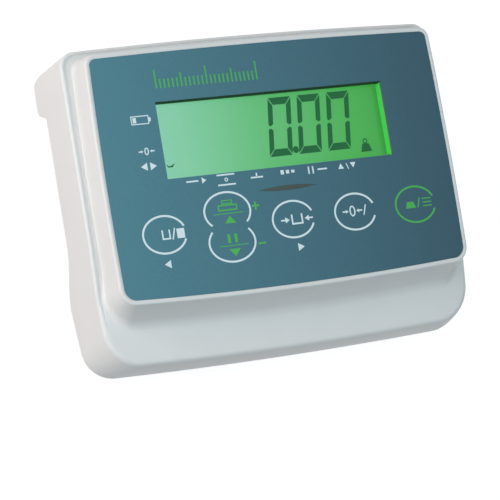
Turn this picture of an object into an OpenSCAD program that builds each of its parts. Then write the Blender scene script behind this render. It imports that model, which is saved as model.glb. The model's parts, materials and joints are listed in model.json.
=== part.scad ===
// Weighing indicator: a desk or wall read-out for an electronic scale.
// It lies on its back, with the panel facing up and its top edge towards +Y.
// The origin is under the middle of the housing, on the plane that it rests on.

/* [Case] */
// Width of the housing across its sides
case_w = 213; // [209:1:225]
// Length of the housing from its bottom edge to its top edge
case_l = 163.5; // [159:0.5:172]
// Height from the rest plane to the face of the panel
case_h = 52.5; // [51.5:0.5:58]
// Thickness of the moulded walls
wall = 2.5; // [2.2:0.1:2.8]
// Radius of the two top corners
top_corner_r = 8; // [6:0.5:11]
// Radius of the two bottom corners
bottom_corner_r = 16; // [13:0.5:19]
// How far the top and bottom edges bow out in the middle
edge_bow = 1.5; // [0.8:0.1:2.5]
// How far each side wall leans in towards the panel
side_lean = 2.75; // [2:0.25:3.5]
// How far the top wall leans in towards the back
top_lean = 3.5; // [2:0.25:4.5]
// How far the bottom wall leans out towards the back
bottom_lean = 6; // [4:0.5:7]
// Gap between the back cover and the walls round it
cover_gap = 0.25; // [0.15:0.05:0.4]

/* [Side profile] */
// Height of the ledge round the raised panel above the rest plane
ledge_z = 38; // [37.5:0.5:41]
// Height of the back edge of the beak along the top
beak_z = 5; // [4.5:0.5:6.5]
// Length of the beak measured down the side
beak_l = 26.75; // [24.75:0.5:28.75]
// Height of the thin side wall between beak and flare
thin_z = 13.5; // [12.5:0.5:14.5]
// Distance from the bottom edge to where the flare starts
flare_start = 69.75; // [66.75:0.5:72.75]
// Distance from the bottom edge to the crest of the flare
flare_crest = 37.75; // [35.75:0.5:39.75]
// Height of the crest of the flare above the rest plane
flare_z = 6.5; // [6:0.25:8]
// Height of the back edge of the bottom wall
tail_z = 11; // [10:0.5:12.5]
// Rounding of the beak and of the edges along the bottom
edge_r = 5; // [4:0.5:6]

/* [Raised panel] */
// Width of the flat ledge on each side of the raised panel
ledge_w = 6.35; // [5.85:0.1:7.35]
// Width of the flat ledge above the raised panel
ledge_top_w = 2.75; // [2.25:0.25:3.5]
// Slope of the raised panel's side walls, from ledge to rim
panel_draft = 2.5; // [1.5:0.25:3]
// Width of the bare rim round the overlay
rim_w = 2.5; // [2:0.25:3]
// Length of the overlay
overlay_l = 122; // [120:0.5:124]
// Corner radius of the overlay at the top
overlay_top_r = 3; // [2:0.25:4]
// Corner radius of the overlay at the bottom
overlay_bottom_r = 6; // [4:0.25:8]
// Radius of the hollow fillet between the raised panel and the chin
chin_fillet = 8; // [5:0.5:9]

/* [Panel layers] */
// Thickness of the printed overlay
overlay_t = 0.55; // [0.4:0.05:0.7]
// Thickness of the spacer sheet under the overlay
spacer_t = 0.7; // [0.6:0.05:0.9]
// Thickness of the circuit sheet under the spacer
circuit_t = 0.25; // [0.2:0.05:0.3]
// Clearance round the overlay in its recess
overlay_gap = 0.1; // [0.05:0.05:0.2]

/* [Display] */
// Width of the display window
window_w = 126.5; // [120:0.5:128]
// Length of the display window
window_l = 38.5; // [36:0.5:40]
// Distance from the overlay's top edge to the window
window_drop = 25; // [24:0.5:26]
// Sideways place of the window's middle
window_x = 0.1; // [0:0.1:1]
// Depth of the display glass below the panel face
glass_drop = 6; // [5.5:0.25:6.5]
// Thickness of the display glass
glass_t = 2.8; // [2.2:0.1:3.2]
// Thickness of the backlight plate
backlight_t = 3.6; // [3:0.1:4]
// Thickness of the printed circuit boards
board_t = 1.6; // [1.2:0.1:2]

/* [Keys] */
// Width of a single key
key_w = 22; // [20:0.5:23]
// Length of a single key
key_l = 18.4; // [17:0.2:19]
// Width of each half of the double key
twin_w = 24.4; // [22:0.2:26]
// Length of each half of the double key
twin_l = 19.6; // [18.6:0.2:20.4]
// Distance from key to key along the row
key_pitch = 35.2; // [33.5:0.1:35.5]
// Distance between the centres of the double key
twin_pitch = 17; // [16.5:0.25:18]
// Distance from the overlay's bottom edge to the row
key_rise = 31.6; // [30:0.2:33]
// Sideways place of the middle of the row
key_row_x = 0.85; // [0:0.05:1.5]
// Travel of a key
key_travel = 0.3; // [0.2:0.05:0.35]
// Height of a snap dome
dome_h = 0.35; // [0.25:0.05:0.35]
// Diameter of a snap dome
dome_d = 12; // [10:0.5:13]

/* [Back cover] */
// Width of the low shelf along each side
shelf_w = 19; // [18:0.25:19.5]
// Height of the back plate above the rest plane
plate_z = 1.5; // [1.2:0.1:2]
// Width of each mounting rail
rail_w = 12; // [11:0.25:13]
// Distance from the case side to the middle of a rail
rail_in = 30; // [29.5:0.25:31]
// Height of the screw pads at the bottom corners
pad_z = 7; // [6:0.25:8]
// Height of the connector bay's face
bay_z = 15.5; // [14.5:0.25:16.5]
// Length of the connector bay from the bottom edge
bay_l = 32.75; // [31.75:0.25:33.75]
// Diameter of the round end of a wall keyhole
keyhole_d = 8.5; // [7.5:0.25:9.5]
// Width of the narrow end of a wall keyhole
keyhole_slot = 4.2; // [3.5:0.1:5]
// Length of the narrow end of a wall keyhole
keyhole_l = 7; // [6:0.25:8]
// Distance from the top edge to the keyholes
keyhole_down = 61.75; // [60.75:0.5:63.75]

/* [Case screws] */
// Diameter of a case screw's shank
screw_d = 3; // [2.5:0.1:3.5]
// Diameter of a case screw's head
screw_head_d = 5.6; // [5:0.1:6]
// Height of a case screw's head
screw_head_h = 2.2; // [1.8:0.1:2.6]
// Length of a case screw below its head
screw_l = 10; // [8:0.5:12]
// Diameter of the wells that the screws sit in
well_d = 8.4; // [7.6:0.2:9]
// Height of the floor of the top wells
well_z = 12; // [11:0.5:13]

/* [Sockets and switch] */
// Width of the mains inlet's flange
inlet_w = 27.5; // [26:0.5:29]
// Length of the mains inlet's flange
inlet_l = 20; // [19:0.5:21]
// Depth of the mains inlet behind its flange
inlet_depth = 16; // [14:0.5:16.5]
// Diameter of the load cell socket's barrel
socket_d = 12; // [11:0.5:13]
// How far the load cell socket stands out
socket_out = 7; // [6:0.5:8]
// Width of the power switch's bezel
switch_w = 15; // [14:0.5:15.5]
// Length of the power switch's bezel
switch_l = 21; // [20:0.5:22]
// Depth of the power switch behind its bezel
switch_depth = 13; // [12:0.5:13.5]
// Angle that the rocker leans to either side
rocker_angle = 11; // [8:0.5:12]
// Clearance round moving pieces
slide_gap = 0.15; // [0.1:0.05:0.2]

/* [Inside] */
// Width of the rechargeable battery
battery_w = 97; // [90:0.5:98]
// Length of the rechargeable battery
battery_l = 51; // [48:0.5:52]
// Thickness of the rechargeable battery
battery_t = 24; // [22:0.5:25]
// Width of the transformer's core
core_w = 41; // [38:0.5:42]
// Depth of the stack of the transformer's core
core_l = 20; // [17:0.5:20.5]
// Height of the transformer's core
core_h = 34; // [31:0.5:34.5]
// Width of the main board
main_w = 104; // [100:0.5:106]
// Length of the main board
main_l = 42; // [40:0.5:43]
// Height of the main board above the rest plane
main_z = 13; // [12:0.5:14]

/* [Hidden] */

// Fineness of round pieces and of computed arcs
$fn = 48;
arc_steps = 8;
bow_steps = 8;
// Overrun of every cut past the face that it opens
over = 1;
// Play between pieces that are assembled and stay put
fit_gap = 0.05;

// Walls, edges and heights of the case
half_w = case_w / 2;
half_l = case_l / 2;
ledge_ceiling = ledge_z - wall;
top_wall_back = half_l - top_lean;
bottom_front = half_l - bottom_lean;
beak_end = half_l - beak_l;
crest_w = 2;
groove_depth = 0.8;
notch_run = 1.5;
notch_lean = 2;
min_corner = 2;
// Plan sizes of the raised panel
overlay_w = case_w - 2 * (ledge_w + panel_draft + rim_w);
overlay_top = half_l - ledge_top_w - panel_draft - rim_w;
overlay_bottom = overlay_top - overlay_l;
overlay_mid = (overlay_top + overlay_bottom) / 2;
// Heights of the panel's layers
rim_drop = 0.2;
rim_z = case_h - rim_drop;
overlay_z = case_h - overlay_t;
spacer_z = overlay_z - spacer_t;
circuit_z = spacer_z - circuit_t;
panel_ceiling = circuit_z - wall;
// Display stack, from the glass down to its board
window_y = overlay_top - window_drop - window_l / 2;
glass_z = case_h - glass_drop;
glass_margin = 2.75;
glass_w = window_w + 2 * glass_margin;
glass_l = window_l + 2 * glass_margin;
display_z = glass_z - glass_t - backlight_t;
lens_seat = 0.8;
lens_t = 1.3;
frame_wall = 1.5;
frame_lip = 0.8;
display_side = 14;
display_extra = 11;
display_shift = 9.75;
display_w = glass_w + 2 * display_side;
display_l = glass_l + 2 * display_extra;
display_y = window_y - display_shift;
display_boss_r = 3;
display_boss_in = 4;
display_boss_down = 10;
display_boss_up = 13;
display_boss_x = display_w / 2 - display_boss_in;
display_boss_top = display_y + display_l / 2 - display_boss_down;
display_boss_low = display_y - display_l / 2 + display_boss_up;
small_screw_d = 2.5;
small_head_d = 4.6;
small_head_h = 1.6;
small_screw_l = 6;
// Key places
key_y = overlay_bottom + key_rise;
key_x = [for (i = [-2:2]) key_row_x + i * key_pitch];
twin_y = [key_y + twin_pitch / 2, key_y - twin_pitch / 2];
twin_split = slide_gap;
dome_w = 3;
// Indicator lens and its lamp
lens_w = 33;
lens_l = 2.4;
lens_drop = 10.8;
lens_y = window_y - window_l / 2 - lens_drop;
led_d = 3;
// Back plate, shelves, bay and pads
plate_x = half_w - shelf_w;
plate_down = 13.25;
plate_top = half_l - plate_down;
groove_z = 8;
cover_top = thin_z + 2 * wall;
bay_top = bay_l - half_l;
bay_right_in = 36.5;
bay_left_in = 41.5;
bay_right = half_w - bay_right_in;
bay_left = bay_left_in - half_w;
rail_down = 36.75;
rail_up = 30.75;
rail_x = half_w - rail_in;
rail_top = half_l - rail_down;
rail_bottom = rail_up - half_l;
foot_mark_d = 8;
foot_mark_depth = 0.4;
keyhole_y = half_l - keyhole_down;
// Case screws: X, Y and the height of the floor they pull on
top_well_in = 34.5;
top_well_down = 23.75;
low_well_in = 24.5;
low_well_up = 13.75;
low_well_rise = 6;
top_well = [half_w - top_well_in, half_l - top_well_down];
low_well = [half_w - low_well_in, low_well_up - half_l];
low_well_z = pad_z + low_well_rise;
boss_r = 4;
well_wall = 1.8;
boss_gap = 0.1;
// Slots in the plate, and the tongue between them
slot_w = 1.6;
slot_right_in = 34.5;
slot_left_in = 24;
slot_down = 12;
slot_up = 14;
slot_x = [rail_x - slot_right_in, slot_left_in - rail_x];
slot_top = rail_top - slot_down;
slot_bottom = rail_bottom + slot_up;
slot_hook = 5;
tongue_w = 15;
tongue_l = 17;
tongue_x = -3;
tongue_gap = 0.5;
tongue_root = bay_top + wall + tongue_gap;
tongue_t = 2;
tongue_slot = 0.9;
// Places of the sockets in the bay, and of the switch on its shelf
bay_row = 17.25;
inlet_in = 26.7;
socket_in = 16;
inlet_step = 1.5;
inlet_end_step = 3.6;
bay_y = bay_row - half_l;
inlet_x = bay_left + inlet_in;
inlet_size = [inlet_w - inlet_step, inlet_l - inlet_end_step];
inlet_wall = 1.3;
inlet_cavity = 13;
inlet_pin = [2, 4];
inlet_pins_at = [[0, 2.6], [-7, -1.6], [7, -1.6]];
inlet_pin_in = 3;
inlet_tab = 4;
socket_x = bay_right - socket_in;
socket_flange_d = 15;
socket_flange_t = 2;
socket_bore_d = 9.2;
socket_recess = 4.5;
socket_tail = 8;
socket_pin_d = 1;
socket_pin_ring = 2.6;
socket_pin_in = 1;
socket_nut_t = 2.5;
socket_nut_d = 17;
port_shares = [0.653, 0.361];
port_x = [for (p = port_shares) inlet_x + p * (socket_x - inlet_x)];
port_w = 18;
port_l = 8;
port_dash = 4;
port_line = 0.8;
port_screw_x = 12.5;
switch_clear = 0.1;
switch_x = -plate_x - switch_w / 2 - switch_clear;
switch_y = 13.5;
bezel_t = 1.5;
switch_step = 2;
switch_end_step = 1.8;
switch_size = [switch_w - switch_step, switch_l - switch_end_step];
switch_tab = 6;
rocker_end = 1;
rocker_side = 1.3;
rocker_in = 2.5;
rocker_r = switch_size[1] / 2 - rocker_end;
rocker_w = switch_size[0] - 2 * rocker_side;
rocker_pivot_z = thin_z - bezel_t + rocker_in;
rocker_pin_d = 2.4;
rocker_pin_l = 0.8;
rocker_crest = 5;
rocker_dip = 3.2;
rocker_back = 2.2;
rocker_room = 4.2;
// Main board, against the bay's wall and the right side of the room
foot_t = 1;
plate_in = plate_z + wall;
bay_in = bay_z + wall;
post_rise = 4;
post_z = plate_in + post_rise;
main_gap = 0.5;
main_side = 4;
main_x = plate_x - wall - main_side - main_w / 2;
main_y = bay_top + wall + main_gap + main_l / 2;
post_r = 3;
post_in = 4;
// Transformer, beside the main board
core_gap = 2;
core_rise = 1;
core_x = main_x - main_w / 2 - core_gap - core_w / 2;
core_y = main_y + core_rise;
yoke = core_w / 6;
coil_w = core_w - 2 * yoke - 2 * fit_gap;
coil_l = core_l + 2 * yoke;
coil_h = core_h - 2 * yoke - 2 * fit_gap;
// Battery, above the main board in plan, with its strap
battery_gap = 6.5;
battery_x = -13;
battery_y = main_y + main_l / 2 + battery_gap + battery_l / 2;
tab_w = 4.8;
tab_t = 0.8;
tab_l = 6;
strap_shift = 1;
strap_x = battery_x + strap_shift;
strap_w = 15;
strap_t = 1;
strap_foot = 6;
// Chips: place on the main board, width and length, as shares of the board
chip_t = 1.8;
chip_shares = [[-0.192, -0.06, 0.135, 0.333], [0.115, -0.214, 0.096, 0.179],
    [0.269, -0.071, 0.096, 0.119], [-0.385, -0.357, 0.072, 0.119]];
// Capacitors: place on the board, diameter as a share of its width, and share of the full height
capacitor_h = 14;
capacitor_shares = [[0.404, 0.238, 0.096, 1], [0.288, 0.238, 0.096, 1], [-0.404, -0.119, 0.077, 0.75]];
// Cooling plate, buzzer and headers, placed as shares of the board
sink_shares = [-0.308, 0.262, 0.212, 0.262];
sink_h = 14;
sink_fin = 1.5;
buzzer_shares = [-0.019, -0.31];
buzzer_d = 12;
buzzer_h = 7;
header_l = 5;
header_h = 6;
ribbon_share = 0.043;
ribbon_in = 5;
ribbon_x = main_x + ribbon_share * main_w;
ribbon_y = main_y + main_l / 2 - ribbon_in;
ribbon_w = 25;
ribbon_t = 1;
cell_shares = [0.269, -0.357];
cell_header_w = 15;
// Tail of the keypad, and its socket on the display board
tail_x = -55;
tail_in = 5;
tail_y = display_y - display_l / 2 + tail_in;
tail_w = 10;
tail_socket_h = 2;

// Points of an arc, from one angle to another
function arc(c, r, a0, a1, n = arc_steps) =
    [for (i = [0:n]) c + r * [cos(a0 + (a1 - a0) * i / n), sin(a0 + (a1 - a0) * i / n)]];

// Points of a long edge that bows out, without its two ends
function bowed(x0, x1, y, bow) =
    [for (i = [1:bow_steps - 1]) let (x = x0 + (x1 - x0) * i / bow_steps) [x, y - bow * pow(x / x0, 2)]];

// Rounded outline with bowed top and bottom edges
function outline(hw, top, bottom, rt, rb, bow) = concat(
    arc([hw - rt, top - bow - rt], rt, 0, 90),
    bowed(hw - rt, rt - hw, top, bow),
    arc([rt - hw, top - bow - rt], rt, 90, 180),
    arc([rb - hw, bottom + bow + rb], rb, 180, 270),
    bowed(rb - hw, hw - rb, bottom, -bow),
    arc([hw - rb, bottom + bow + rb], rb, 270, 360));

// Half width of the case at a height: the side walls lean in towards the panel
function side_x(z) = half_w - side_lean * max(0, z - beak_z) / (ledge_z - beak_z);

// Cross-section of the case from side to side, as X and Z, drawn in by an inset
function cross_section(inset, top) = [
    [inset - half_w, -over],
    [half_w - inset, -over],
    [half_w - inset, beak_z],
    [side_x(top) - inset, top],
    [inset - side_x(top), top],
    [inset - half_w, beak_z]];

// Outline of the case, drawn in by an inset
function case_outline(inset) = outline(half_w - inset, half_l - inset, inset - half_l,
    max(top_corner_r - inset, min_corner), max(bottom_corner_r - inset, min_corner), edge_bow);

// A place on the main board, from its shares of the board's width and length
function on_board(shares) = [main_x + shares[0] * main_w, main_y + shares[1] * main_l];

// Outline of the overlay, drawn out by a margin
function panel_outline(margin) = outline(overlay_w / 2 + margin, overlay_top + margin,
    overlay_bottom - margin, overlay_top_r + margin, overlay_bottom_r + margin, edge_bow);

// Outer profile of the side wall, as Y and Z
function side_profile() = concat(
    [[half_l, ledge_z]],
    arc([top_wall_back - edge_r, beak_z + edge_r], edge_r, 0, -90),
    [[beak_end + notch_lean, beak_z], [beak_end, beak_z + notch_run],
     [beak_end - notch_run, thin_z - notch_run], [beak_end - notch_run - notch_lean, thin_z],
     [flare_start - half_l, thin_z]],
    flare_points(),
    [[-half_l, tail_z]],
    [[-bottom_front - edge_r / 4, ledge_z - edge_r], [-bottom_front + edge_r / 2, ledge_z]]);

// The flare sweeps down in a smooth S from the thin wall to its crest
function flare_points() = [for (i = [1:arc_steps]) let (t = i / arc_steps)
    [flare_start - half_l - (flare_start - flare_crest) * t,
     thin_z - (thin_z - flare_z) * (1 - cos(180 * t)) / 2]];

// Room inside the walls, as Y and Z, drawn in by an inset
function room_profile(inset, ceiling) = [
    [half_l - inset, ceiling],
    [top_wall_back - inset, beak_z],
    [top_wall_back - inset, -over],
    [inset - half_l, -over],
    [inset - half_l, tail_z],
    [inset - bottom_front, ceiling]];

// A flat shape raised from one height to another
module raise(z0, z1) {
    translate([0, 0, z0]) linear_extrude(z1 - z0) children();
}

// A side profile, drawn as Y and Z, stretched across a width
module across(w, x = 0) {
    translate([x - w / 2, 0, 0]) rotate([90, 0, 90]) linear_extrude(w) children();
}

// A cross-section, drawn as X and Z, stretched from the bottom edge to the top edge
module lengthwise(l) {
    translate([0, l / 2, 0]) rotate([90, 0, 0]) linear_extrude(l) children();
}

// A block between two corners
module block(lo, hi) {
    translate(lo) cube(hi - lo);
}

// A block by its middle in plan, its plan size and its two heights
module slab(mid, size, z0, z1) {
    block([mid[0] - size[0] / 2, mid[1] - size[1] / 2, z0], [mid[0] + size[0] / 2, mid[1] + size[1] / 2, z1]);
}

// A round post by its middle in plan, its diameter and its two heights
module post(mid, d, z0, z1) {
    translate([mid[0], mid[1], z0]) cylinder(h = z1 - z0, d = d);
}

// The same piece on the left and on the right
module both_sides() {
    for (s = [0, 1]) mirror([s, 0, 0]) children();
}

// Places of the four display screws and of the four board screws
display_holes = [for (x = [-1, 1], y = [display_boss_low, display_boss_top]) [x * display_boss_x, y]];
main_holes = [for (x = [-1, 1], y = [-1, 1])
    [main_x + x * (main_w / 2 - post_in), main_y + y * (main_l / 2 - post_in)]];
strap_holes = [for (y = [-1, 1]) [strap_x, battery_y + y * (battery_l / 2 + strap_t + strap_foot / 2)]];
core_holes = [for (y = [-1, 1]) [core_x, core_y + y * (coil_l / 2 + small_head_d / 2)]];

// Tub of the housing: every wall at its full depth, before it is hollowed
module tub() {
    intersection() {
        raise(0, ledge_z) polygon(case_outline(0));
        across(case_w) polygon(side_profile());
        lengthwise(case_l) polygon(cross_section(0, ledge_z));
    }
}

module tub_room() {
    intersection() {
        raise(-over, ledge_ceiling) polygon(case_outline(wall));
        across(case_w) polygon(room_profile(wall, ledge_ceiling));
        lengthwise(case_l) polygon(cross_section(wall, ledge_ceiling));
    }
}

// The raised panel tapers from its foot to its rim
module raised_panel(inset, z0, z1) {
    hull() {
        raise(z0, ledge_z) polygon(panel_outline(rim_w + panel_draft - inset));
        raise(z1 - rim_drop, z1) polygon(panel_outline(rim_w - inset));
    }
}

// Hollow fillet that runs from the raised panel down onto the chin
module chin_fillet_prism() {
    foot = overlay_bottom - rim_w - panel_draft;
    start = foot + panel_draft * chin_fillet / (rim_z - rim_drop - ledge_z);
    across(overlay_w - 2 * overlay_bottom_r) polygon(concat(
        [[start + wall / 2, ledge_z - wall / 2], [start + wall / 2, ledge_z + chin_fillet]],
        arc([start - chin_fillet, ledge_z + chin_fillet], chin_fillet, 0, -90),
        [[start - chin_fillet, ledge_z - wall / 2]]));
}

// Shallow groove between the outer wall's crest and the foot of the raised panel
module ledge_groove() {
    difference() {
        raise(ledge_z - groove_depth, ledge_z + over)
            polygon(outline(side_x(ledge_z) - crest_w, half_l - ledge_top_w / 2, overlay_bottom,
                top_corner_r - ledge_top_w / 2, min_corner, edge_bow));
        raise(0, case_h) polygon(panel_outline(rim_w + panel_draft));
    }
}

module front_housing() {
    color("gainsboro") difference() {
        union() {
            difference() {
                union() {
                    tub();
                    raised_panel(0, ledge_ceiling, rim_z);
                    chin_fillet_prism();
                }
                tub_room();
                raised_panel(wall, ledge_ceiling - over, panel_ceiling);
                ledge_groove();
            }
            both_sides() {
                post(top_well, 2 * boss_r, well_z + wall + boss_gap, panel_ceiling + wall / 2);
                post(low_well, 2 * boss_r, low_well_z + wall + boss_gap, ledge_ceiling + wall / 2);
            }
            for (p = display_holes) post(p, 2 * display_boss_r, display_z, panel_ceiling + wall / 2);
        }
        raise(circuit_z, case_h + over) polygon(panel_outline(overlay_gap));
        slab([window_x, window_y], [window_w - 2 * lens_seat, window_l - 2 * lens_seat],
            ledge_z, case_h);
        both_sides() {
            post(top_well, screw_d + 2 * fit_gap, 0, well_z + screw_l + over);
            post(low_well, screw_d + 2 * fit_gap, 0, low_well_z + screw_l + over);
        }
        for (p = display_holes)
            post(p, small_screw_d + 2 * fit_gap, 0, display_z - board_t + small_screw_l + over / 2);
        post([key_row_x, lens_y], led_d + 4 * overlay_gap, ledge_z, case_h);
        slab([tail_x, tail_y], [tail_w + 2 * slide_gap, circuit_t + 4 * slide_gap], ledge_z, case_h);
    }
}

// Everything behind the back cover's skin, drawn in by an inset
module cover_form(inset, top) {
    difference() {
        intersection() {
            raise(-over, top) polygon(case_outline(wall + cover_gap + inset));
            across(case_w) polygon(room_profile(wall + cover_gap + inset, ledge_ceiling));
            lengthwise(case_l) polygon(cross_section(wall + cover_gap + inset, ledge_ceiling));
            union() {
                block([-half_w, flare_start - half_l - inset, thin_z + inset], [half_w, half_l, top + over]);
                block([inset - plate_x, bay_top + inset, plate_z + inset],
                    [plate_x - inset, plate_top - inset, top + over]);
                block([-half_w, beak_end - notch_run + inset, groove_z + inset], [half_w, half_l, top + over]);
                across(case_w) polygon(concat(
                    [[flare_start - half_l, top + over], [flare_start - half_l, thin_z + inset]],
                    [for (p = flare_points()) p + [0, inset]],
                    [[-half_l, flare_z + inset], [-half_l, top + over]]));
                block([-half_w, -half_l, pad_z + inset], [half_w, bay_top + over, top + over]);
            }
        }
        block([bay_left - inset, -half_l - over, -over], [bay_right + inset, bay_top + inset, bay_z + inset]);
    }
}

// Dashed lines and two dots, moulded thin, where a data port can be broken out
module port_mark() {
    for (y = [-1, 1], x = [-1, 0, 1])
        slab([x * (port_w - port_dash) / 2, y * port_l / 2], [port_dash, port_line], bay_z - over, bay_in + over);
    for (x = [-1, 1])
        slab([x * port_w / 2, 0], [port_line, port_dash], bay_z - over, bay_in + over);
    post([port_screw_x, 0], 2 * port_line, bay_z - over, bay_in + over);
}

module rail() {
    translate([rail_x, 0, 0]) raise(0, plate_z + wall / 2) {
        translate([-rail_w / 2, rail_bottom + rail_w / 2]) square([rail_w, rail_top - rail_bottom - rail_w]);
        for (y = [rail_bottom + rail_w / 2, rail_top - rail_w / 2]) translate([0, y]) circle(d = rail_w);
    }
}

module keyhole() {
    post([rail_x, keyhole_y], keyhole_d, -over, plate_in + over);
    slab([rail_x, keyhole_y + (keyhole_l + over) / 2], [keyhole_slot, keyhole_l + over], -over, plate_in + over);
}

module rear_cover() {
    color("whitesmoke") difference() {
        union() {
            difference() {
                cover_form(0, cover_top);
                cover_form(wall, cover_top + over);
            }
            both_sides() {
                rail();
                post(top_well, well_d + 2 * well_wall, plate_z + wall / 2, well_z + wall);
                post(low_well, well_d + 2 * well_wall, pad_z + wall / 2, low_well_z + wall);
            }
            block([slot_x[1] - slot_w / 2, slot_bottom, 0.5 * plate_z], [slot_x[1] + slot_w / 2, slot_top, plate_in]);
            for (p = main_holes) post(p, 2 * post_r, plate_z + wall / 2, main_z);
            for (p = strap_holes) post(p, 2 * post_r, plate_z + wall / 2, post_z);
            for (p = core_holes) post(p, 2 * post_r, plate_z + wall / 2, post_z);
        }
        both_sides() {
            keyhole();
            post(top_well, well_d, -over, well_z);
            post(low_well, well_d, -over, low_well_z);
            post(top_well, screw_d + 4 * slide_gap, 0, cover_top);
            post(low_well, screw_d + 4 * slide_gap, 0, cover_top);
            for (y = [rail_bottom + rail_w / 2, rail_top - rail_w / 2])
                post([rail_x, y], foot_mark_d, -over, foot_mark_depth);
        }
        slab([slot_x[0], (slot_top + slot_bottom) / 2], [slot_w, slot_top - slot_bottom], -over, plate_in + over);
        slab([slot_x[0] + slot_hook / 2, slot_bottom - slot_w / 2], [slot_hook + slot_w, 2 * slot_w],
            -over, plate_in + over);
        slab([slot_x[1] + slot_hook, slot_bottom - slot_w / 2], [2 * slot_w, 2 * slot_w], -over, plate_in + over);
        block([tongue_x - tongue_w / 2 - tongue_slot, tongue_root - slide_gap, -over],
            [tongue_x + tongue_w / 2 + tongue_slot, tongue_root + tongue_l + tongue_slot, plate_in + over]);
        for (x = port_x) translate([x, bay_y, 0]) port_mark();
        slab([inlet_x, bay_y], inlet_size + [2 * fit_gap, 2 * fit_gap], bay_z - over, bay_in + over);
        post([socket_x, bay_y], socket_d + 2 * fit_gap, bay_z - over, bay_in + over);
        slab([switch_x, switch_y], switch_size + [2 * fit_gap, 2 * fit_gap], thin_z - over, cover_top + over);
        for (p = main_holes) post(p, small_screw_d + 2 * fit_gap, main_z - small_screw_l, main_z + over);
        for (p = concat(strap_holes, core_holes))
            post(p, small_screw_d + 2 * fit_gap, foot_t + post_z - small_screw_l, post_z + over);
    }
}

// Window-sized hole through a sheet
module window_hole(margin, z0, z1) {
    slab([window_x, window_y], [window_w + 2 * margin, window_l + 2 * margin], z0, z1);
}

// Outline of one key, cut flat where the two halves of the double key meet
function key_points(w, l, low, high) =
    [for (i = [0:35]) [w / 2 * cos(10 * i), min(high, max(low, l / 2 * sin(10 * i)))]];

// One key by its number: 0 net, 1 up, 2 down, 3 tare, 4 zero, 5 unit
module key_shape(n, margin = 0) {
    half = twin_pitch / 2 - twin_split / 2 + margin;
    far = twin_l;
    if (n == 1) translate([key_x[1], twin_y[0]])
        polygon(key_points(twin_w + 2 * margin, twin_l + 2 * margin, -half, far));
    else if (n == 2) translate([key_x[1], twin_y[1]])
        polygon(key_points(twin_w + 2 * margin, twin_l + 2 * margin, -far, half));
    else translate([key_x[n == 0 ? 0 : n - 1], key_y])
        polygon(key_points(key_w + 2 * margin, key_l + 2 * margin, -far, far));
}

module key(n) {
    color("cadetblue") raise(overlay_z, case_h) key_shape(n);
}

module key_holes(z0, z1) {
    for (n = [0:5]) raise(z0, z1) key_shape(n, slide_gap);
}

module lens_shape(margin = 0) {
    a = lens_w / 2 + margin;
    b = lens_l / 2 + margin;
    r = (a * a + b * b) / (2 * b);
    sweep = asin(a / r);
    translate([key_row_x, lens_y]) polygon(concat(
        arc([0, b - r], r, 90 - sweep, 90 + sweep),
        arc([0, r - b], r, 270 - sweep, 270 + sweep)));
}

module overlay() {
    color("steelblue") difference() {
        raise(overlay_z, case_h) polygon(panel_outline(0));
        window_hole(0, 0, case_h + over);
        key_holes(0, case_h + over);
        raise(0, case_h + over) lens_shape(fit_gap);
    }
}

module spacer_sheet() {
    color("ivory") difference() {
        raise(spacer_z, overlay_z) polygon(panel_outline(0));
        window_hole(0, 0, case_h);
        key_holes(0, case_h);
        post([key_row_x, lens_y], led_d + 4 * overlay_gap, 0, case_h);
    }
}

module keypad_sheet() {
    color("darkgoldenrod") {
        difference() {
            raise(circuit_z, spacer_z) polygon(panel_outline(0));
            window_hole(0, 0, case_h);
            post([key_row_x, lens_y], led_d + 4 * overlay_gap, 0, case_h);
        }
        slab([tail_x, tail_y], [tail_w, circuit_t], display_z + tail_socket_h, spacer_z);
    }
}

module snap_domes() {
    r = (pow(dome_d / 2, 2) + pow(dome_h, 2)) / (2 * dome_h);
    color("silver") for (n = [0:5]) {
        x = key_x[n == 0 ? 0 : n < 3 ? 1 : n - 1];
        y = n == 1 ? twin_y[0] : n == 2 ? twin_y[1] : key_y;
        translate([x, y, spacer_z]) rotate_extrude() polygon(concat(
            [[0, 0]], [for (i = [0:4]) let (u = dome_d / 2 * (1 - i / 4)) [u, sqrt(r * r - u * u) - r + dome_h]]));
    }
}

module key_net() { key(0); }
module key_up() { key(1); }
module key_down() { key(2); }
module key_tare() { key(3); }
module key_zero() { key(4); }
module key_unit() { key(5); }

module lcd_window() {
    color("white", 0.3) slab([window_x, window_y],
        [window_w - 2 * fit_gap, window_l - 2 * fit_gap], circuit_z, circuit_z + lens_t);
}

// Frame that holds the glass and its backlight down on the display board
module lcd_frame() {
    outer = [glass_w + 2 * (frame_wall + fit_gap), glass_l + 2 * (frame_wall + fit_gap)];
    color("ivory") difference() {
        slab([window_x, window_y], outer, display_z, glass_z + frame_lip);
        slab([window_x, window_y], [glass_w + 2 * fit_gap, glass_l + 2 * fit_gap], display_z - over, glass_z);
        window_hole(0, 0, case_h);
    }
}

module lcd_glass() {
    color("palegreen", 0.6) slab([window_x, window_y], [glass_w, glass_l], glass_z - glass_t, glass_z);
}

module backlight_plate() {
    color("limegreen") slab([window_x, window_y], [glass_w, glass_l], display_z, display_z + backlight_t);
}

module display_board() {
    color("darkgreen") difference() {
        slab([0, display_y], [display_w, display_l], display_z - board_t, display_z);
        for (p = display_holes) post(p, small_screw_d + 4 * slide_gap, 0, case_h);
    }
}

// A small screw with a flat head: where its head pulls, and which way it points
module small_screw(at, z, up = 1) {
    translate([at[0], at[1], z]) mirror([0, 0, up > 0 ? 0 : 1]) {
        cylinder(h = small_screw_l, d = small_screw_d);
        translate([0, 0, -small_head_h]) cylinder(h = small_head_h, d = small_head_d);
    }
}

module display_screws() {
    color("silver") for (p = display_holes) small_screw(p, display_z - board_t);
}

module indicator_lens() {
    color("black", 0.8) raise(overlay_z, case_h) lens_shape();
}

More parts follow.
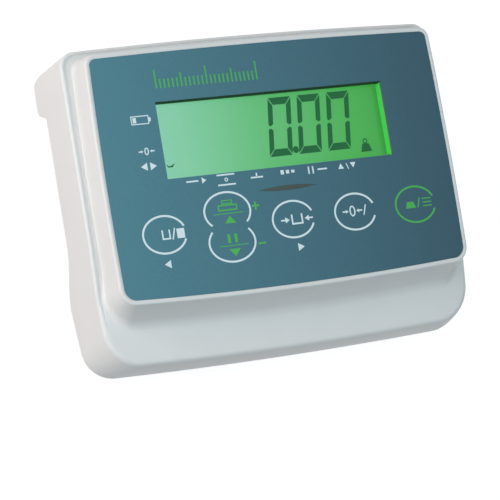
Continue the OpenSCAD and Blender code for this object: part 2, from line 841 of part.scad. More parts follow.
module indicator_led() {
    color("limegreen") {
        post([key_row_x, lens_y], led_d, display_z, spacer_z - led_d / 2);
        translate([key_row_x, lens_y, spacer_z - led_d / 2]) sphere(d = led_d);
    }
}

module main_board() {
    color("darkgreen") difference() {
        slab([main_x, main_y], [main_w, main_l], main_z, main_z + board_t);
        for (p = main_holes) post(p, small_screw_d + 4 * slide_gap, 0, case_h);
    }
}

module board_screws() {
    color("silver") for (p = main_holes) small_screw(p, main_z + board_t, -1);
}

module board_chips() {
    color("black") for (c = chip_shares)
        slab(on_board(c), [c[2] * main_w, c[3] * main_l], main_z + board_t, main_z + board_t + chip_t);
}

module capacitors() {
    color("navy") for (c = capacitor_shares)
        post(on_board(c), c[2] * main_w, main_z + board_t, main_z + board_t + c[3] * capacitor_h);
}

// Cooling plate with upright fins
module heat_sink() {
    base = main_z + board_t;
    sink_at = on_board(sink_shares);
    sink_size = [sink_shares[2] * main_w, sink_shares[3] * main_l];
    color("silver") {
        slab(sink_at, sink_size, base, base + sink_fin);
        for (x = [-1, -1 / 3, 1 / 3, 1])
            slab([sink_at[0] + x * (sink_size[0] - sink_fin) / 2, sink_at[1]],
                [sink_fin, sink_size[1]], base, base + sink_h);
    }
}

module buzzer() {
    top = main_z + board_t + buzzer_h;
    color("black") difference() {
        post(on_board(buzzer_shares), buzzer_d, main_z + board_t, top);
        post(on_board(buzzer_shares), buzzer_d / 6, top - buzzer_h / 3, top + over);
    }
}

module header_sockets() {
    base = main_z + board_t;
    color("ivory") {
        slab([ribbon_x, ribbon_y], [ribbon_w + header_l, header_l], base, base + header_h);
        slab([ribbon_x, ribbon_y], [ribbon_w + header_l, header_l],
            display_z - board_t - header_h, display_z - board_t);
        slab(on_board(cell_shares), [cell_header_w, header_l], base, base + header_h);
        slab([tail_x, tail_y], [tail_w + header_l, header_l], display_z, display_z + tail_socket_h);
    }
}

module ribbon_cable() {
    color("silver") slab([ribbon_x, ribbon_y], [ribbon_w, ribbon_t],
        main_z + board_t + header_h, display_z - board_t - header_h);
}

module battery() {
    color("dimgray") slab([battery_x, battery_y], [battery_w, battery_l], plate_in, plate_in + battery_t);
}

module battery_terminals() {
    top = plate_in + battery_t;
    color("gold") for (y = [-1, 1])
        slab([battery_x + battery_w / 2 + tab_l / 2, battery_y + y * battery_l / 4], [tab_l, tab_w],
            top - 3 * tab_t, top - 2 * tab_t);
}

// Sheet metal strap that holds the battery down on the back cover
module battery_strap() {
    top = plate_in + battery_t;
    reach = battery_l / 2;
    color("silver") difference() {
        union() {
            slab([strap_x, battery_y], [strap_w, 2 * (reach + strap_t)], top, top + strap_t);
            for (y = [-1, 1]) {
                slab([strap_x, battery_y + y * (reach + strap_t / 2)], [strap_w, strap_t], post_z, top + strap_t);
                slab([strap_x, battery_y + y * (reach + strap_t / 2 + strap_foot / 2)],
                    [strap_w, strap_t + strap_foot], post_z, post_z + foot_t);
            }
        }
        for (p = strap_holes) post(p, small_screw_d + 4 * slide_gap, 0, post_z + 2 * foot_t);
    }
}

module strap_screws() {
    color("silver") for (p = strap_holes) small_screw(p, post_z + foot_t, -1);
}

// Core of E and I plates, with a window on either side of its middle leg
module transformer_core() {
    z0 = post_z + foot_t;
    color("gray") difference() {
        slab([core_x, core_y], [core_w, core_l], z0, z0 + core_h);
        for (x = [-1, 1])
            slab([core_x + x * 1.5 * yoke, core_y], [yoke, core_l + 2 * over], z0 + yoke, z0 + core_h - yoke);
    }
}

module transformer_coil() {
    mid = post_z + foot_t + core_h / 2;
    color("peru") difference() {
        slab([core_x, core_y], [coil_w, coil_l], mid - coil_h / 2, mid + coil_h / 2);
        slab([core_x, core_y], [2 * yoke + 2 * fit_gap, core_l + 2 * fit_gap], 0, case_h);
    }
}

module transformer_bracket() {
    color("silver") difference() {
        slab([core_x, core_y], [core_w / 2, coil_l + 2 * small_head_d + over], post_z, post_z + foot_t);
        for (p = core_holes) post(p, small_screw_d + 4 * slide_gap, 0, post_z + 2 * foot_t);
    }
}

module transformer_screws() {
    color("silver") for (p = core_holes) small_screw(p, post_z + foot_t, -1);
}

module switch_body() {
    bezel_z = thin_z - bezel_t;
    color("black") difference() {
        union() {
            slab([switch_x, switch_y], [switch_w, switch_l], bezel_z, thin_z);
            slab([switch_x, switch_y], switch_size, thin_z, thin_z + switch_depth);
        }
        slab([switch_x, switch_y], [rocker_w + 2 * slide_gap, 2 * (rocker_r + slide_gap)],
            bezel_z - over, rocker_pivot_z + rocker_room);
        translate([switch_x, switch_y, rocker_pivot_z]) rotate([0, 90, 0])
            cylinder(h = rocker_w + 2 * rocker_pin_l + 2 * slide_gap, d = rocker_pin_d + 2 * slide_gap, center = true);
    }
}

// The rocker is drawn level and turned about its pivot to the side that is pressed in
module switch_rocker() {
    crest_angle = acos(sqrt(1 - pow(rocker_crest / rocker_r, 2)));
    back_angle = asin(rocker_back / rocker_r);
    color("black") translate([switch_x, switch_y, rocker_pivot_z]) rotate([-rocker_angle, 0, 0]) {
        across(rocker_w) polygon(concat(
            [[0, -rocker_dip]],
            arc([0, 0], rocker_r, -crest_angle, back_angle),
            arc([0, 0], rocker_r, 180 - back_angle, 180 + crest_angle)));
        rotate([0, 90, 0]) cylinder(h = rocker_w + 2 * rocker_pin_l, d = rocker_pin_d, center = true);
    }
}

module switch_terminals() {
    z0 = thin_z + switch_depth;
    color("gold") for (y = [-1, 1])
        slab([switch_x, switch_y + y * switch_l / 4], [tab_t, tab_w], z0, z0 + switch_tab);
}

module inlet_body() {
    face = bay_z - bezel_t;
    color("black") difference() {
        union() {
            slab([inlet_x, bay_y], [inlet_w, inlet_l], face, bay_z);
            slab([inlet_x, bay_y], inlet_size, bay_z, bay_z + inlet_depth);
        }
        slab([inlet_x, bay_y], inlet_size - 2 * [inlet_wall, inlet_wall], face - over, face + inlet_cavity);
        for (p = inlet_pins_at) slab([inlet_x, bay_y] + p, inlet_pin, face, case_h);
    }
}

module inlet_pins() {
    color("silver") for (p = inlet_pins_at)
        slab([inlet_x, bay_y] + p, inlet_pin, bay_z - bezel_t + inlet_pin_in, bay_z + inlet_depth + inlet_tab);
}

module socket_shell() {
    color("silver") difference() {
        union() {
            post([socket_x, bay_y], socket_d, bay_z - socket_out, bay_z + socket_tail);
            post([socket_x, bay_y], socket_flange_d, bay_z - socket_flange_t, bay_z);
        }
        post([socket_x, bay_y], socket_bore_d, 0, case_h);
    }
}

module socket_pin_set(d, z0, z1) {
    for (i = [0:3]) post([socket_x, bay_y] + socket_pin_ring * [cos(90 * i + 45), sin(90 * i + 45)], d, z0, z1);
}

module socket_insert() {
    color("black") difference() {
        post([socket_x, bay_y], socket_bore_d, bay_z - socket_out + socket_recess, bay_z + socket_tail);
        socket_pin_set(socket_pin_d, 0, case_h);
    }
}

module socket_pins() {
    color("gold") socket_pin_set(socket_pin_d, bay_z - socket_out + socket_pin_in, bay_z + socket_tail + tab_w);
}

module socket_nut() {
    color("silver") difference() {
        translate([socket_x, bay_y, bay_in]) cylinder(h = socket_nut_t, d = socket_nut_d, $fn = 6);
        post([socket_x, bay_y], socket_d, 0, case_h);
    }
}

module case_screw(at, z) {
    post(at, screw_d, z, z + screw_l);
    post(at, screw_head_d, z - screw_head_h, z);
}

module case_screws() {
    color("silver") both_sides() {
        case_screw(top_well, well_z);
        case_screw(low_well, low_well_z);
    }
}

module latch_tongue() {
    color("whitesmoke") block([tongue_x - tongue_w / 2, tongue_root, plate_z],
        [tongue_x + tongue_w / 2, tongue_root + tongue_l, plate_z + tongue_t]);
}

front_housing();
rear_cover();
overlay();
spacer_sheet();
keypad_sheet();
snap_domes();
key_net();
key_up();
key_down();
key_tare();
key_zero();
key_unit();
lcd_window();
lcd_frame();
lcd_glass();
backlight_plate();
display_board();
display_screws();
indicator_lens();
indicator_led();
main_board();
board_screws();
board_chips();
capacitors();
heat_sink();
buzzer();
header_sockets();
ribbon_cable();
battery();
battery_terminals();
battery_strap();
strap_screws();
transformer_core();
transformer_coil();
transformer_bracket();
transformer_screws();
switch_body();
switch_rocker();
switch_terminals();
inlet_body();
inlet_pins();
socket_shell();
socket_insert();
socket_pins();
socket_nut();
case_screws();
latch_tongue();
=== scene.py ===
# %% [markdown]
# # A weighing indicator, modelled and lit step by step
#
# The CAD folder gives exact solids for every piece inside the case. This lesson builds the pieces that the
# eye meets first, with softer edges and printed detail: the housing, the overlay with its keys, the
# display, the screws. Then it adds materials, light and a camera, set up for one picture.

import json
import math
import bpy
import bmesh
from mathutils import Matrix, Vector
from mathutils.geometry import delaunay_2d_cdt

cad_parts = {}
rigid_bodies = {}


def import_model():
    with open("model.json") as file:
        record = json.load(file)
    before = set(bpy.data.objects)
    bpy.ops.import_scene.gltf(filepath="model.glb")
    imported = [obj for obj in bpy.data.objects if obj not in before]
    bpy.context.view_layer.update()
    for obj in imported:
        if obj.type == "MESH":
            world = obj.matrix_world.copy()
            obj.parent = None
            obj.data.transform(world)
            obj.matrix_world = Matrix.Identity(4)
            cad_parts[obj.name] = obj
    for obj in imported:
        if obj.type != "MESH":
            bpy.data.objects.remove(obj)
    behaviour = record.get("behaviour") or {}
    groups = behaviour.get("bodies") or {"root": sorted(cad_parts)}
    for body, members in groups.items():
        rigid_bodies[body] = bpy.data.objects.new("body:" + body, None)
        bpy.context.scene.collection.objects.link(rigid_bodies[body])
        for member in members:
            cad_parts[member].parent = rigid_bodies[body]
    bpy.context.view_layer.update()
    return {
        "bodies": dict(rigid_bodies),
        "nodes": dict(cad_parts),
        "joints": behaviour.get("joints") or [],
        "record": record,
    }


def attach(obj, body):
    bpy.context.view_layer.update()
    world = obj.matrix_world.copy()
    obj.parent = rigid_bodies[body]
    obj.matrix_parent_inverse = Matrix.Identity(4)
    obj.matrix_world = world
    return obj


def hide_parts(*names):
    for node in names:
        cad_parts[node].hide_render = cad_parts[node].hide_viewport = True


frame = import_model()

MM = 0.001
print("loaded", len(frame["nodes"]) if isinstance(frame, dict) and "nodes" in frame else "the frame")

# %% [markdown]
# ## Sizes
#
# All sizes are in millimetres in the frame of the CAD: the indicator lies on its back, +Z is up out of
# the panel and +Y points to the top edge of the panel.

# %% Sizes of the case
# Half the width, half the length, and the thickness of the walls.
HALF_W, HALF_L, WALL = 106.5, 81.75, 2.5
# Heights of the ledge, of the panel's rim and of the print, which is the highest point.
LEDGE_Z, RIM_Z, PANEL_Z = 38.0, 52.3, 52.5
# Heights of the back edge: at the beak, at the end of the tail, along the thin wall and on the flare.
BACK_Z, TAIL_Z, THIN_Z, FLARE_Z = 5.0, 11.0, 13.5, 6.5
# Places along Y: start and crest of the flare, end of the beak. Then the beak's radius, ease and slope.
FLARE_START, FLARE_CREST, BEAK_END = -12.0, -44.0, 55.0
BEAK_R, BEAK_EASE, BEAK_SLOPE = 5.0, 0.8, 4.0
# How far the side walls lean in, the top wall leans in, the bottom wall curves out and the chin narrows.
SIDE_LEAN, TOP_LEAN, BOTTOM_LEAN, CHIN_TAPER = 2.75, 3.5, 3.4, 1.3
# Where along Y the top wall, the bottom wall and the chin begin.
TOP_START, BOTTOM_START, CHIN_START = 60, -55, -38
# How far the ledge comes down round the chin, and the depth of the groove beside the panel.
LEDGE_DROP, GROOVE = 1.6, 0.9
# Corner radii seen from above: at the top, and at the bottom on the back and on the ledge.
TOP_R, BACK_R, FRONT_R = 8, 13, 21

# %% Sizes of the raised panel
OVERLAY_W, OVERLAY_TOP, OVERLAY_BOTTOM = 190.3, 74.0, -48.5
OVERLAY_TOP_R, OVERLAY_LOW_R = 3, 6
# How far edges bow out: those of the case, and the overlay's top, bottom and side edges.
CASE_BOW, TOP_BOW, LOW_BOW, SIDE_BOW = 1.5, 1.2, 2.2, 1.2
# Width and rounding of the rim, and how far the panel's wall runs out beside it and over the chin.
RIM_W, RIM_R, DRAFT, CHIN_DRAFT = 2.5, 0.9, 1.0, 7.0
# Radius of the hollow at the foot of the panel's wall, beside the panel and over the chin.
FOOT_R, CHIN_FOOT_R = 0.6, 3.5
# The display window: middle in X and Y, width and length.
WINDOW = (0.1, 29.75, 126.5, 38.5)
# Heights of the recess for the overlay, of the panel's back face and of the display glass.
RECESS_Z, PANEL_BACK_Z, LCD_Z = 51.0, 48.5, 46.5

# %% Sizes of the overlay, the keys and the print
# The film lies between these heights, and the ink above it up to PANEL_Z.
FILM_Z, INK_Z = 51.95, 52.47
KEYS = ["key_net", "key_up", "key_down", "key_tare", "key_zero", "key_unit"]
KEY_ROW_X, KEY_PITCH, KEY_Y = 0.85, 35.2, -16.4
KEY_X = [KEY_ROW_X + i * KEY_PITCH for i in range(-2, 3)]
TWIN_Y = (-8.65, -24.15)
KEY_SIZE, TWIN_SIZE, KEY_GAP = (21.8, 17.3), (23.9, 18.1), 0.02
# The slim window under the display: its middle in Y, width and length.
LENS_Y, LENS_W, LENS_L = -0.3, 33.1, 2.5
# All print is drawn about its own middle, which lies this far to the side.
PRINT_X = -0.65
# A ring's middle line lies this far outside its key, and its stroke is this wide.
RING_STEP, RING_INK = 0.55, 1.0

# %% [markdown]
# ## Helpers for meshes
#
# Every piece is made in a `bmesh`, in millimetres, and scaled to metres when it becomes an object.

# %% Turn a bmesh into an object
def finish_mesh(bm, name, material, body="case", angle=30, flat=False):
    """Scale to metres, mark the sharp edges, and let the piece ride on its body."""
    bmesh.ops.recalc_face_normals(bm, faces=bm.faces)
    bmesh.ops.scale(bm, vec=(MM, MM, MM), verts=bm.verts)
    mesh = bpy.data.meshes.new(name)
    bm.to_mesh(mesh)
    bm.free()
    for p in mesh.polygons:
        p.use_smooth = not flat
    if not flat:
        mesh.set_sharp_from_angle(angle=math.radians(angle))
    obj = bpy.data.objects.new(name, mesh)
    bpy.context.scene.collection.objects.link(obj)
    mesh.materials.append(material)
    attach(obj, body)
    return obj


# %% Rings of points and skins between them
def new_ring(bm, places):
    """A closed ring of vertices joined by edges."""
    ring = [bm.verts.new(p) for p in places]
    for a, b in zip(ring, ring[1:] + ring[:1]):
        bm.edges.new((a, b))
    return ring


def pull_ring(bm, ring, places):
    """Extrude a ring of edges, and put each new vertex where it belongs."""
    edges = [bm.edges.get((a, b)) for a, b in zip(ring, ring[1:] + ring[:1])]
    made = bmesh.ops.extrude_edge_only(bm, edges=edges)["geom"]
    fresh = {v for v in made if isinstance(v, bmesh.types.BMVert)}
    pulled = []
    for v, p in zip(ring, places):
        n = next(e.other_vert(v) for e in v.link_edges if e.other_vert(v) in fresh)
        n.co = p
        pulled.append(n)
    return pulled


def close_rings(bm, a, b):
    """Join two rings of the same length with a band of faces."""
    for i in range(len(a)):
        j = (i + 1) % len(a)
        bm.faces.new((a[i], a[j], b[j], b[i]))


def cap(bm, ring):
    """Fill one ring with a single face."""
    bm.faces.new(ring)


def circle(x, y, r, z, n):
    """Points of a level circle."""
    turns = [2 * math.pi * i / n for i in range(n)]
    return [(x + r * math.cos(a), y + r * math.sin(a), z) for a in turns]


# %% Rounded outlines with bowed edges
TOP_STEPS = 56
CORNER_STEPS = 16
# The points of a side lie closer together where the back edge bends.
SIDE_Y = [60.0, 58.4, 57.0, 56.2, 55.5, 55.0, 54.4, 53.8, 53.2, 52.6, 52.0, 51.4, 50.6,
          48, 44, 38, 30, 20, 10, 0, -8, -11, -12.8, -15.2, -18.0,
          -21.0, -24.0, -27.0, -30.0, -33.0, -36.0, -39.0, -42.0, -44.5]


def outline(hw, top, bottom, rt, rb, bow_top, bow_bottom, side_y=None):
    """Ring of (x, y, nx, ny), counterclockwise from the right end of the top edge."""
    points = []
    xt, xb = hw - rt, hw - rb
    yt, yb = top - bow_top - rt, bottom + bow_bottom + rb
    for i in range(TOP_STEPS):
        x = xt * (1 - 2 * i / TOP_STEPS)
        n = Vector((2 * bow_top * x / xt ** 2, 1)).normalized()
        points.append((x, top - bow_top * (x / xt) ** 2, n.x, n.y))
    for i in range(CORNER_STEPS):
        a = math.radians(90 + 90 * i / CORNER_STEPS)
        points.append((-xt + rt * math.cos(a), yt + rt * math.sin(a), math.cos(a), math.sin(a)))
    sides = side_y or [yt + (yb - yt) * i / len(SIDE_Y) for i in range(len(SIDE_Y))]
    for y in sides:
        points.append((-hw, y, -1, 0))
    for i in range(CORNER_STEPS):
        a = math.radians(180 + 90 * i / CORNER_STEPS)
        points.append((-xb + rb * math.cos(a), yb + rb * math.sin(a), math.cos(a), math.sin(a)))
    for i in range(TOP_STEPS):
        x = -xb * (1 - 2 * i / TOP_STEPS)
        n = Vector((2 * bow_bottom * x / xb ** 2, -1)).normalized()
        points.append((x, bottom + bow_bottom * (x / xb) ** 2, n.x, n.y))
    for i in range(CORNER_STEPS):
        a = math.radians(270 + 90 * i / CORNER_STEPS)
        points.append((xb + rb * math.cos(a), yb + rb * math.sin(a), math.cos(a), math.sin(a)))
    for y in reversed(sides):
        points.append((hw, y, 1, 0))
    for i in range(CORNER_STEPS):
        a = math.radians(90 * i / CORNER_STEPS)
        points.append((xt + rt * math.cos(a), yt + rt * math.sin(a), math.cos(a), math.sin(a)))
    return points


def smooth(t):
    """An easy step from 0 to 1."""
    t = min(1.0, max(0.0, t))
    return t * t * (3 - 2 * t)


# %% [markdown]
# ## The housing
#
# The front housing is one moulded shell. It is drawn as a stack of rings: up the outer wall, over the
# rounded crest, through the shallow groove, up the raised panel, over its rim, down into the recess for
# the overlay, through the display window, and back along the inside.

# %% Height of the back edge of the wall at each place
def skirt(y):
    """The side view of the back edge: beak, notch, thin wall, flare and tail."""
    if y > HALF_L - TOP_LEAN - BEAK_R:
        d = min(BEAK_R, y - (HALF_L - TOP_LEAN - BEAK_R))
        return BACK_Z + BEAK_R - math.sqrt(max(0.0, BEAK_R ** 2 - d * d))
    if y > BEAK_END + BEAK_EASE:
        return BACK_Z + BEAK_EASE * (1 - smooth((y - BEAK_END - BEAK_EASE) / (2 * BEAK_EASE)))
    if y > BEAK_END + BEAK_EASE - BEAK_SLOPE:
        share = smooth((BEAK_END + BEAK_EASE - y) / BEAK_SLOPE)
        return BACK_Z + BEAK_EASE + (THIN_Z - BACK_Z - BEAK_EASE) * share
    if y > FLARE_START:
        return THIN_Z
    if y > FLARE_CREST:
        t = (FLARE_START - y) / (FLARE_START - FLARE_CREST)
        return THIN_Z - (THIN_Z - FLARE_Z) * (1 - math.cos(math.pi * t)) / 2
    return FLARE_Z + (TAIL_Z - FLARE_Z) * (FLARE_CREST - y) / (FLARE_CREST + HALF_L)


def ledge_z(y):
    """The ledge lies level beside the panel and comes down round the chin."""
    return LEDGE_Z - LEDGE_DROP * smooth((-12 - y) / 40)


def lean(y, z):
    """How far the top wall leans in and the bottom wall curves out at a height."""
    down = (LEDGE_Z - z) / (LEDGE_Z - BACK_Z)
    at_top = smooth((y - TOP_START) / 8)
    at_bottom = smooth((BOTTOM_START - y) / 12)
    back = (LEDGE_Z - z) / (LEDGE_Z - TAIL_Z)
    return -TOP_LEAN * down * at_top + BOTTOM_LEAN * (1 - back) ** 2 * at_bottom


def crest_radius(y):
    """The front edge is crisp beside the panel and a little softer round the chin."""
    return 1.0 + smooth((CHIN_START - y) / 22)


def side_lean(z):
    """How far a side wall has come in at a height."""
    return SIDE_LEAN * max(0.0, z - BACK_Z) / (LEDGE_Z - BACK_Z)


CASE_BACK = outline(HALF_W, HALF_L, -HALF_L, TOP_R, BACK_R, CASE_BOW, CASE_BOW, SIDE_Y)
CASE_FRONT = outline(HALF_W, HALF_L, -HALF_L, TOP_R, FRONT_R, CASE_BOW, CASE_BOW, SIDE_Y)


def edge_radius(y):
    """The back edge is rounded, most under the chin."""
    return 0.5 + 1.6 * smooth((BOTTOM_START - y) / 12)


def wall_ring(inset, height):
    """Ring on the outer wall, drawn in by an inset, at a height that may follow the skirt.

    Towards the ledge the chin gets a little narrower and its corners rounder.
    """
    ring = []
    for back, front in zip(CASE_BACK, CASE_FRONT):
        y = (back[1] + front[1]) / 2
        z = height(back[0], y) if callable(height) else height
        share = min(1.0, max(0.0, (z - BACK_Z) / (LEDGE_Z - BACK_Z)))
        x, y, nx, ny = [a + (b - a) * share for a, b in zip(back, front)]
        d = inset(x, y) if callable(inset) else inset
        d += share * CHIN_TAPER * smooth((CHIN_START - y) / 25) * abs(nx)
        ring.append((x * (1 - side_lean(z) / HALF_W) - nx * d, y - ny * d + lean(y, z), z))
    return ring


def crest_ring(angle):
    """Ring on the rounding between the outer wall and the ledge."""
    a = math.radians(angle)
    return wall_ring(lambda x, y: crest_radius(y) * (1 - math.cos(a)),
                     lambda x, y: ledge_z(y) - crest_radius(y) * (1 - math.sin(a)))


# %% Rings of the ledge, the groove and the raised panel
def panel_outline(margin):
    """Outline of the overlay plus a margin; its sides come in a little towards the top and the bottom."""
    half = OVERLAY_W / 2
    points = outline(half + margin, OVERLAY_TOP + margin, OVERLAY_BOTTOM - margin,
                     OVERLAY_TOP_R + margin, OVERLAY_LOW_R + margin, TOP_BOW, LOW_BOW)
    return [(x * (1 + (0.2 - SIDE_BOW * (y / 70) ** 2) / half), y, nx, ny) for x, y, nx, ny in points]


def chin(y):
    """1 on the chin side of the raised panel, 0 beside and above it."""
    return smooth((-30 - y) / 16)


def fillet(k):
    """Radius of the hollow fillet at the foot: small beside the panel, wider above the chin."""
    return FOOT_R + (CHIN_FOOT_R - FOOT_R) * k


def wall_run(nx, k):
    """How far the panel's wall runs out from its rim to its foot."""
    return DRAFT + CHIN_DRAFT * k * (1 - 0.8 * abs(nx))


def ledge_ring(share, depth):
    """Ring on the ledge: share 0 is the crest, 1 is the foot of the raised panel."""
    crest = wall_ring(lambda x, y: crest_radius(y), lambda x, y: ledge_z(y))
    ring = []
    for c, f, p in zip(crest, panel_ring(0), panel_outline(RIM_W)):
        x, y = c[0] + (f[0] - c[0]) * share, c[1] + (f[1] - c[1]) * share
        ring.append((x, y, c[2] + (ledge_z(p[1]) - c[2]) * share - depth * (1 - chin(p[1]))))
    return ring


def panel_ring(angle):
    """Ring on the fillet: angle 0 lies on the ledge, 90 is where the straight wall begins."""
    a = math.radians(angle)
    ring = []
    for x, y, nx, ny in panel_outline(RIM_W):
        k = chin(y)
        r, foot_z = fillet(k), ledge_z(y) - GROOVE * (1 - k)
        z = foot_z + r * (1 - math.cos(a))
        out = wall_run(nx, k) * (RIM_Z - 1 - z) / (RIM_Z - 1 - foot_z)
        out += r * (1 - math.sin(a)) * (1 - 0.65 * abs(nx) * k)
        ring.append((x + nx * out, y + ny * out, z))
    return ring


def rim_ring(inset, z):
    """Level ring, drawn in by an inset from the outer edge of the rim."""
    return [(x - nx * inset, y - ny * inset, z) for x, y, nx, ny in panel_outline(RIM_W)]


def window_ring(margin, z):
    """Ring round the display window, with as many points as the case has."""
    cx, cy, w, l = WINDOW
    points = outline(w / 2 + margin, l / 2 + margin, -l / 2 - margin, 0.4, 0.4, 0, 0)
    return [(x + cx, y + cy, z) for x, y, nx, ny in points]


# %% Build the shell
def housing_mesh():
    """The stack of rings, from the back edge over the front and back along the inside."""
    bm = bmesh.new()
    inner_edge = wall_ring(WALL - 0.5, lambda x, y: skirt(y))
    first = new_ring(bm, inner_edge)
    ring = first
    for a in (0, 20, 40, 60, 80, 90):
        t = math.radians(a)
        ring = pull_ring(bm, ring, wall_ring(lambda x, y: edge_radius(y) * (1 - math.sin(t)),
                                             lambda x, y: skirt(y) + edge_radius(y) * (1 - math.cos(t))))
    for t in (0.15, 0.3, 0.45, 0.6, 0.75, 0.9):
        ring = pull_ring(bm, ring, wall_ring(0, lambda x, y: skirt(y) + t * (LEDGE_Z - 5 - skirt(y))))
    steps = 8
    for i in range(steps + 1):
        ring = pull_ring(bm, ring, crest_ring(90 * i / steps))
    for share, depth in ((0.10, 0), (0.18, 0.1), (0.30, GROOVE - 0.1), (0.38, GROOVE), (0.85, GROOVE)):
        ring = pull_ring(bm, ring, ledge_ring(share, depth))
    for i in range(steps + 1):
        ring = pull_ring(bm, ring, panel_ring(90 * i / steps))
    for a in (0, 30, 60, 90):
        t = math.radians(a)
        ring = pull_ring(bm, ring, rim_ring(RIM_R * (1 - math.cos(t)), RIM_Z - RIM_R * (1 - math.sin(t))))
    for places in (rim_ring(RIM_W - 0.15, RIM_Z), rim_ring(RIM_W - 0.04, RIM_Z - 0.1),
                   rim_ring(RIM_W - 0.04, RECESS_Z), window_ring(0.3, RECESS_Z),
                   window_ring(-0.8, RECESS_Z), window_ring(-0.8, PANEL_BACK_Z),
                   rim_ring(WALL, PANEL_BACK_Z), rim_ring(WALL - DRAFT * 0.9, LEDGE_Z - WALL)):
        ring = pull_ring(bm, ring, places)
    inside = lambda x, y: min(LEDGE_Z - WALL, ledge_z(y) - 1)
    ring = pull_ring(bm, ring, wall_ring(WALL + 1.5, inside))
    ring = pull_ring(bm, ring, wall_ring(WALL, lambda x, y: inside(x, y) - 1.5))
    for t in (0.6, 0.25):
        ring = pull_ring(bm, ring, wall_ring(WALL, lambda x, y: skirt(y) + t * (LEDGE_Z - 5 - skirt(y))))
    ring = pull_ring(bm, ring, wall_ring(WALL, lambda x, y: skirt(y) + 0.5))
    close_rings(bm, ring, first)
    return bm


# %% [markdown]
# ## Materials
#
# Each material is procedural and reads Object coordinates, so its grain stays with the piece.

# %% Nodes and their inputs
def add_node(tree, kind, inputs, **settings):
    """Add a shader node. An input takes a plain value or the output of another node."""
    node = tree.nodes.new("ShaderNode" + kind)
    for name, value in settings.items():
        setattr(node, name, value)
    for key, value in inputs.items():
        if isinstance(value, bpy.types.NodeSocket):
            tree.links.new(value, node.inputs[key])
        else:
            node.inputs[key].default_value = value
    return node


# %% A plastic with grain, faint mottling and fine wear in its gloss
def grainy(name, color, rough=0.45, rough_range=0.12, grain=0.00002, scale=900.0, mottle=0.04,
           mottle_scale=60.0, specular=0.5, metallic=0.0, stretch=(1, 1, 1), emission=(1, 1, 1),
           strength=0.0):
    """A material whose colour and gloss change in faint blotches, over a fine grain."""
    material = bpy.data.materials.new(name)
    material.use_nodes = True
    tree = material.node_tree
    shader = tree.nodes["Principled BSDF"]
    shader.inputs["Metallic"].default_value = metallic
    shader.inputs["Specular IOR Level"].default_value = specular
    shader.inputs["Emission Color"].default_value = (*emission, 1)
    shader.inputs["Emission Strength"].default_value = strength

    coords = add_node(tree, "TexCoord", {})
    mapping = add_node(tree, "Mapping", {"Vector": coords.outputs["Object"], "Scale": stretch})
    place = mapping.outputs["Vector"]
    noise = add_node(tree, "TexNoise", {"Vector": place, "Scale": mottle_scale, "Detail": 4})
    blotch = noise.outputs["Fac"]
    tint = add_node(tree, "ValToRGB", {"Fac": blotch})
    low, high = tint.color_ramp.elements
    low.position, high.position = 0.3, 0.7
    low.color = [c * (1 - mottle) for c in color] + [1]
    high.color = [min(1, c * (1 + mottle)) for c in color] + [1]
    tree.links.new(tint.outputs["Color"], shader.inputs["Base Color"])

    gloss = add_node(tree, "MapRange", {"Value": blotch, "To Min": max(0.02, rough - rough_range / 2),
                                        "To Max": min(1, rough + rough_range / 2)})
    tree.links.new(gloss.outputs["Result"], shader.inputs["Roughness"])

    fine = add_node(tree, "TexNoise", {"Vector": place, "Scale": scale, "Detail": 3})
    bump = add_node(tree, "Bump", {"Height": fine.outputs["Fac"], "Strength": 0.6, "Distance": grain})
    tree.links.new(bump.outputs["Normal"], shader.inputs["Normal"])
    return material


# %% Colours that run from the left of a piece to its right
def across_ramp(tree, left, right, stops):
    """A ramp between two places along X, whose first and last stop lie at its ends."""
    coords = tree.nodes["Texture Coordinate"].outputs["Object"]
    across = add_node(tree, "SeparateXYZ", {"Vector": coords}).outputs["X"]
    place = add_node(tree, "MapRange", {"Value": across, "From Min": left, "From Max": right})
    ramp = add_node(tree, "ValToRGB", {"Fac": place.outputs["Result"]})
    elements = ramp.color_ramp.elements
    elements[0].color, elements[1].color = (*stops[0][1], 1), (*stops[-1][1], 1)
    for share, color in stops[1:-1]:
        elements.new(share).color = (*color, 1)
    return ramp.outputs["Color"]


# %% The materials of the pieces
CASE_PLASTIC = grainy("case_plastic", (0.80, 0.80, 0.79), rough=0.42, mottle=0.012, grain=0.00003,
                      scale=1400)
COVER_PLASTIC = grainy("cover_plastic", (0.76, 0.77, 0.79), rough=0.5, mottle=0.015, grain=0.00004,
                       scale=1200)
WHITE_INK = grainy("white_ink", (0.78, 0.91, 0.95), rough=0.5, mottle=0.02)
GREEN_INK = grainy("green_ink", (0.072, 0.50, 0.09), rough=0.5, mottle=0.03)
# Painted light: the spacer's white film is coloured green, as the display's light makes it look.
EDGE_FILM = grainy("edge_film", (0.07, 0.20, 0.09), rough=0.5, mottle=0.04)
CIRCUIT_FILM = grainy("circuit_film", (0.45, 0.30, 0.08), rough=0.35, mottle=0.05)
BLACK = grainy("black_plastic", (0.018, 0.018, 0.019), rough=0.38, mottle=0.1, grain=0.00004, scale=1000)
WHITE_PLASTIC = grainy("white_plastic", (0.78, 0.77, 0.72), rough=0.45, mottle=0.02)
BOARD = grainy("board_green", (0.012, 0.10, 0.035), rough=0.3, mottle=0.08, mottle_scale=300)
STEEL = grainy("zinc_steel", (0.56, 0.57, 0.58), rough=0.3, mottle=0.05, metallic=1.0, stretch=(1, 1, 8))
NICKEL = grainy("nickel", (0.66, 0.65, 0.62), rough=0.2, mottle=0.03, metallic=1.0, rough_range=0.06)
BRASS = grainy("plated_brass", (0.72, 0.55, 0.24), rough=0.28, mottle=0.05, metallic=1.0)
ALUMINIUM = grainy("sink_metal", (0.66, 0.67, 0.68), rough=0.35, mottle=0.04, metallic=1.0, stretch=(8, 1, 1))
CORE = grainy("core_steel", (0.22, 0.22, 0.23), rough=0.5, mottle=0.1, metallic=0.8, stretch=(1, 10, 1))
TAPE = grainy("coil_tape", (0.62, 0.42, 0.10), rough=0.4, mottle=0.06)
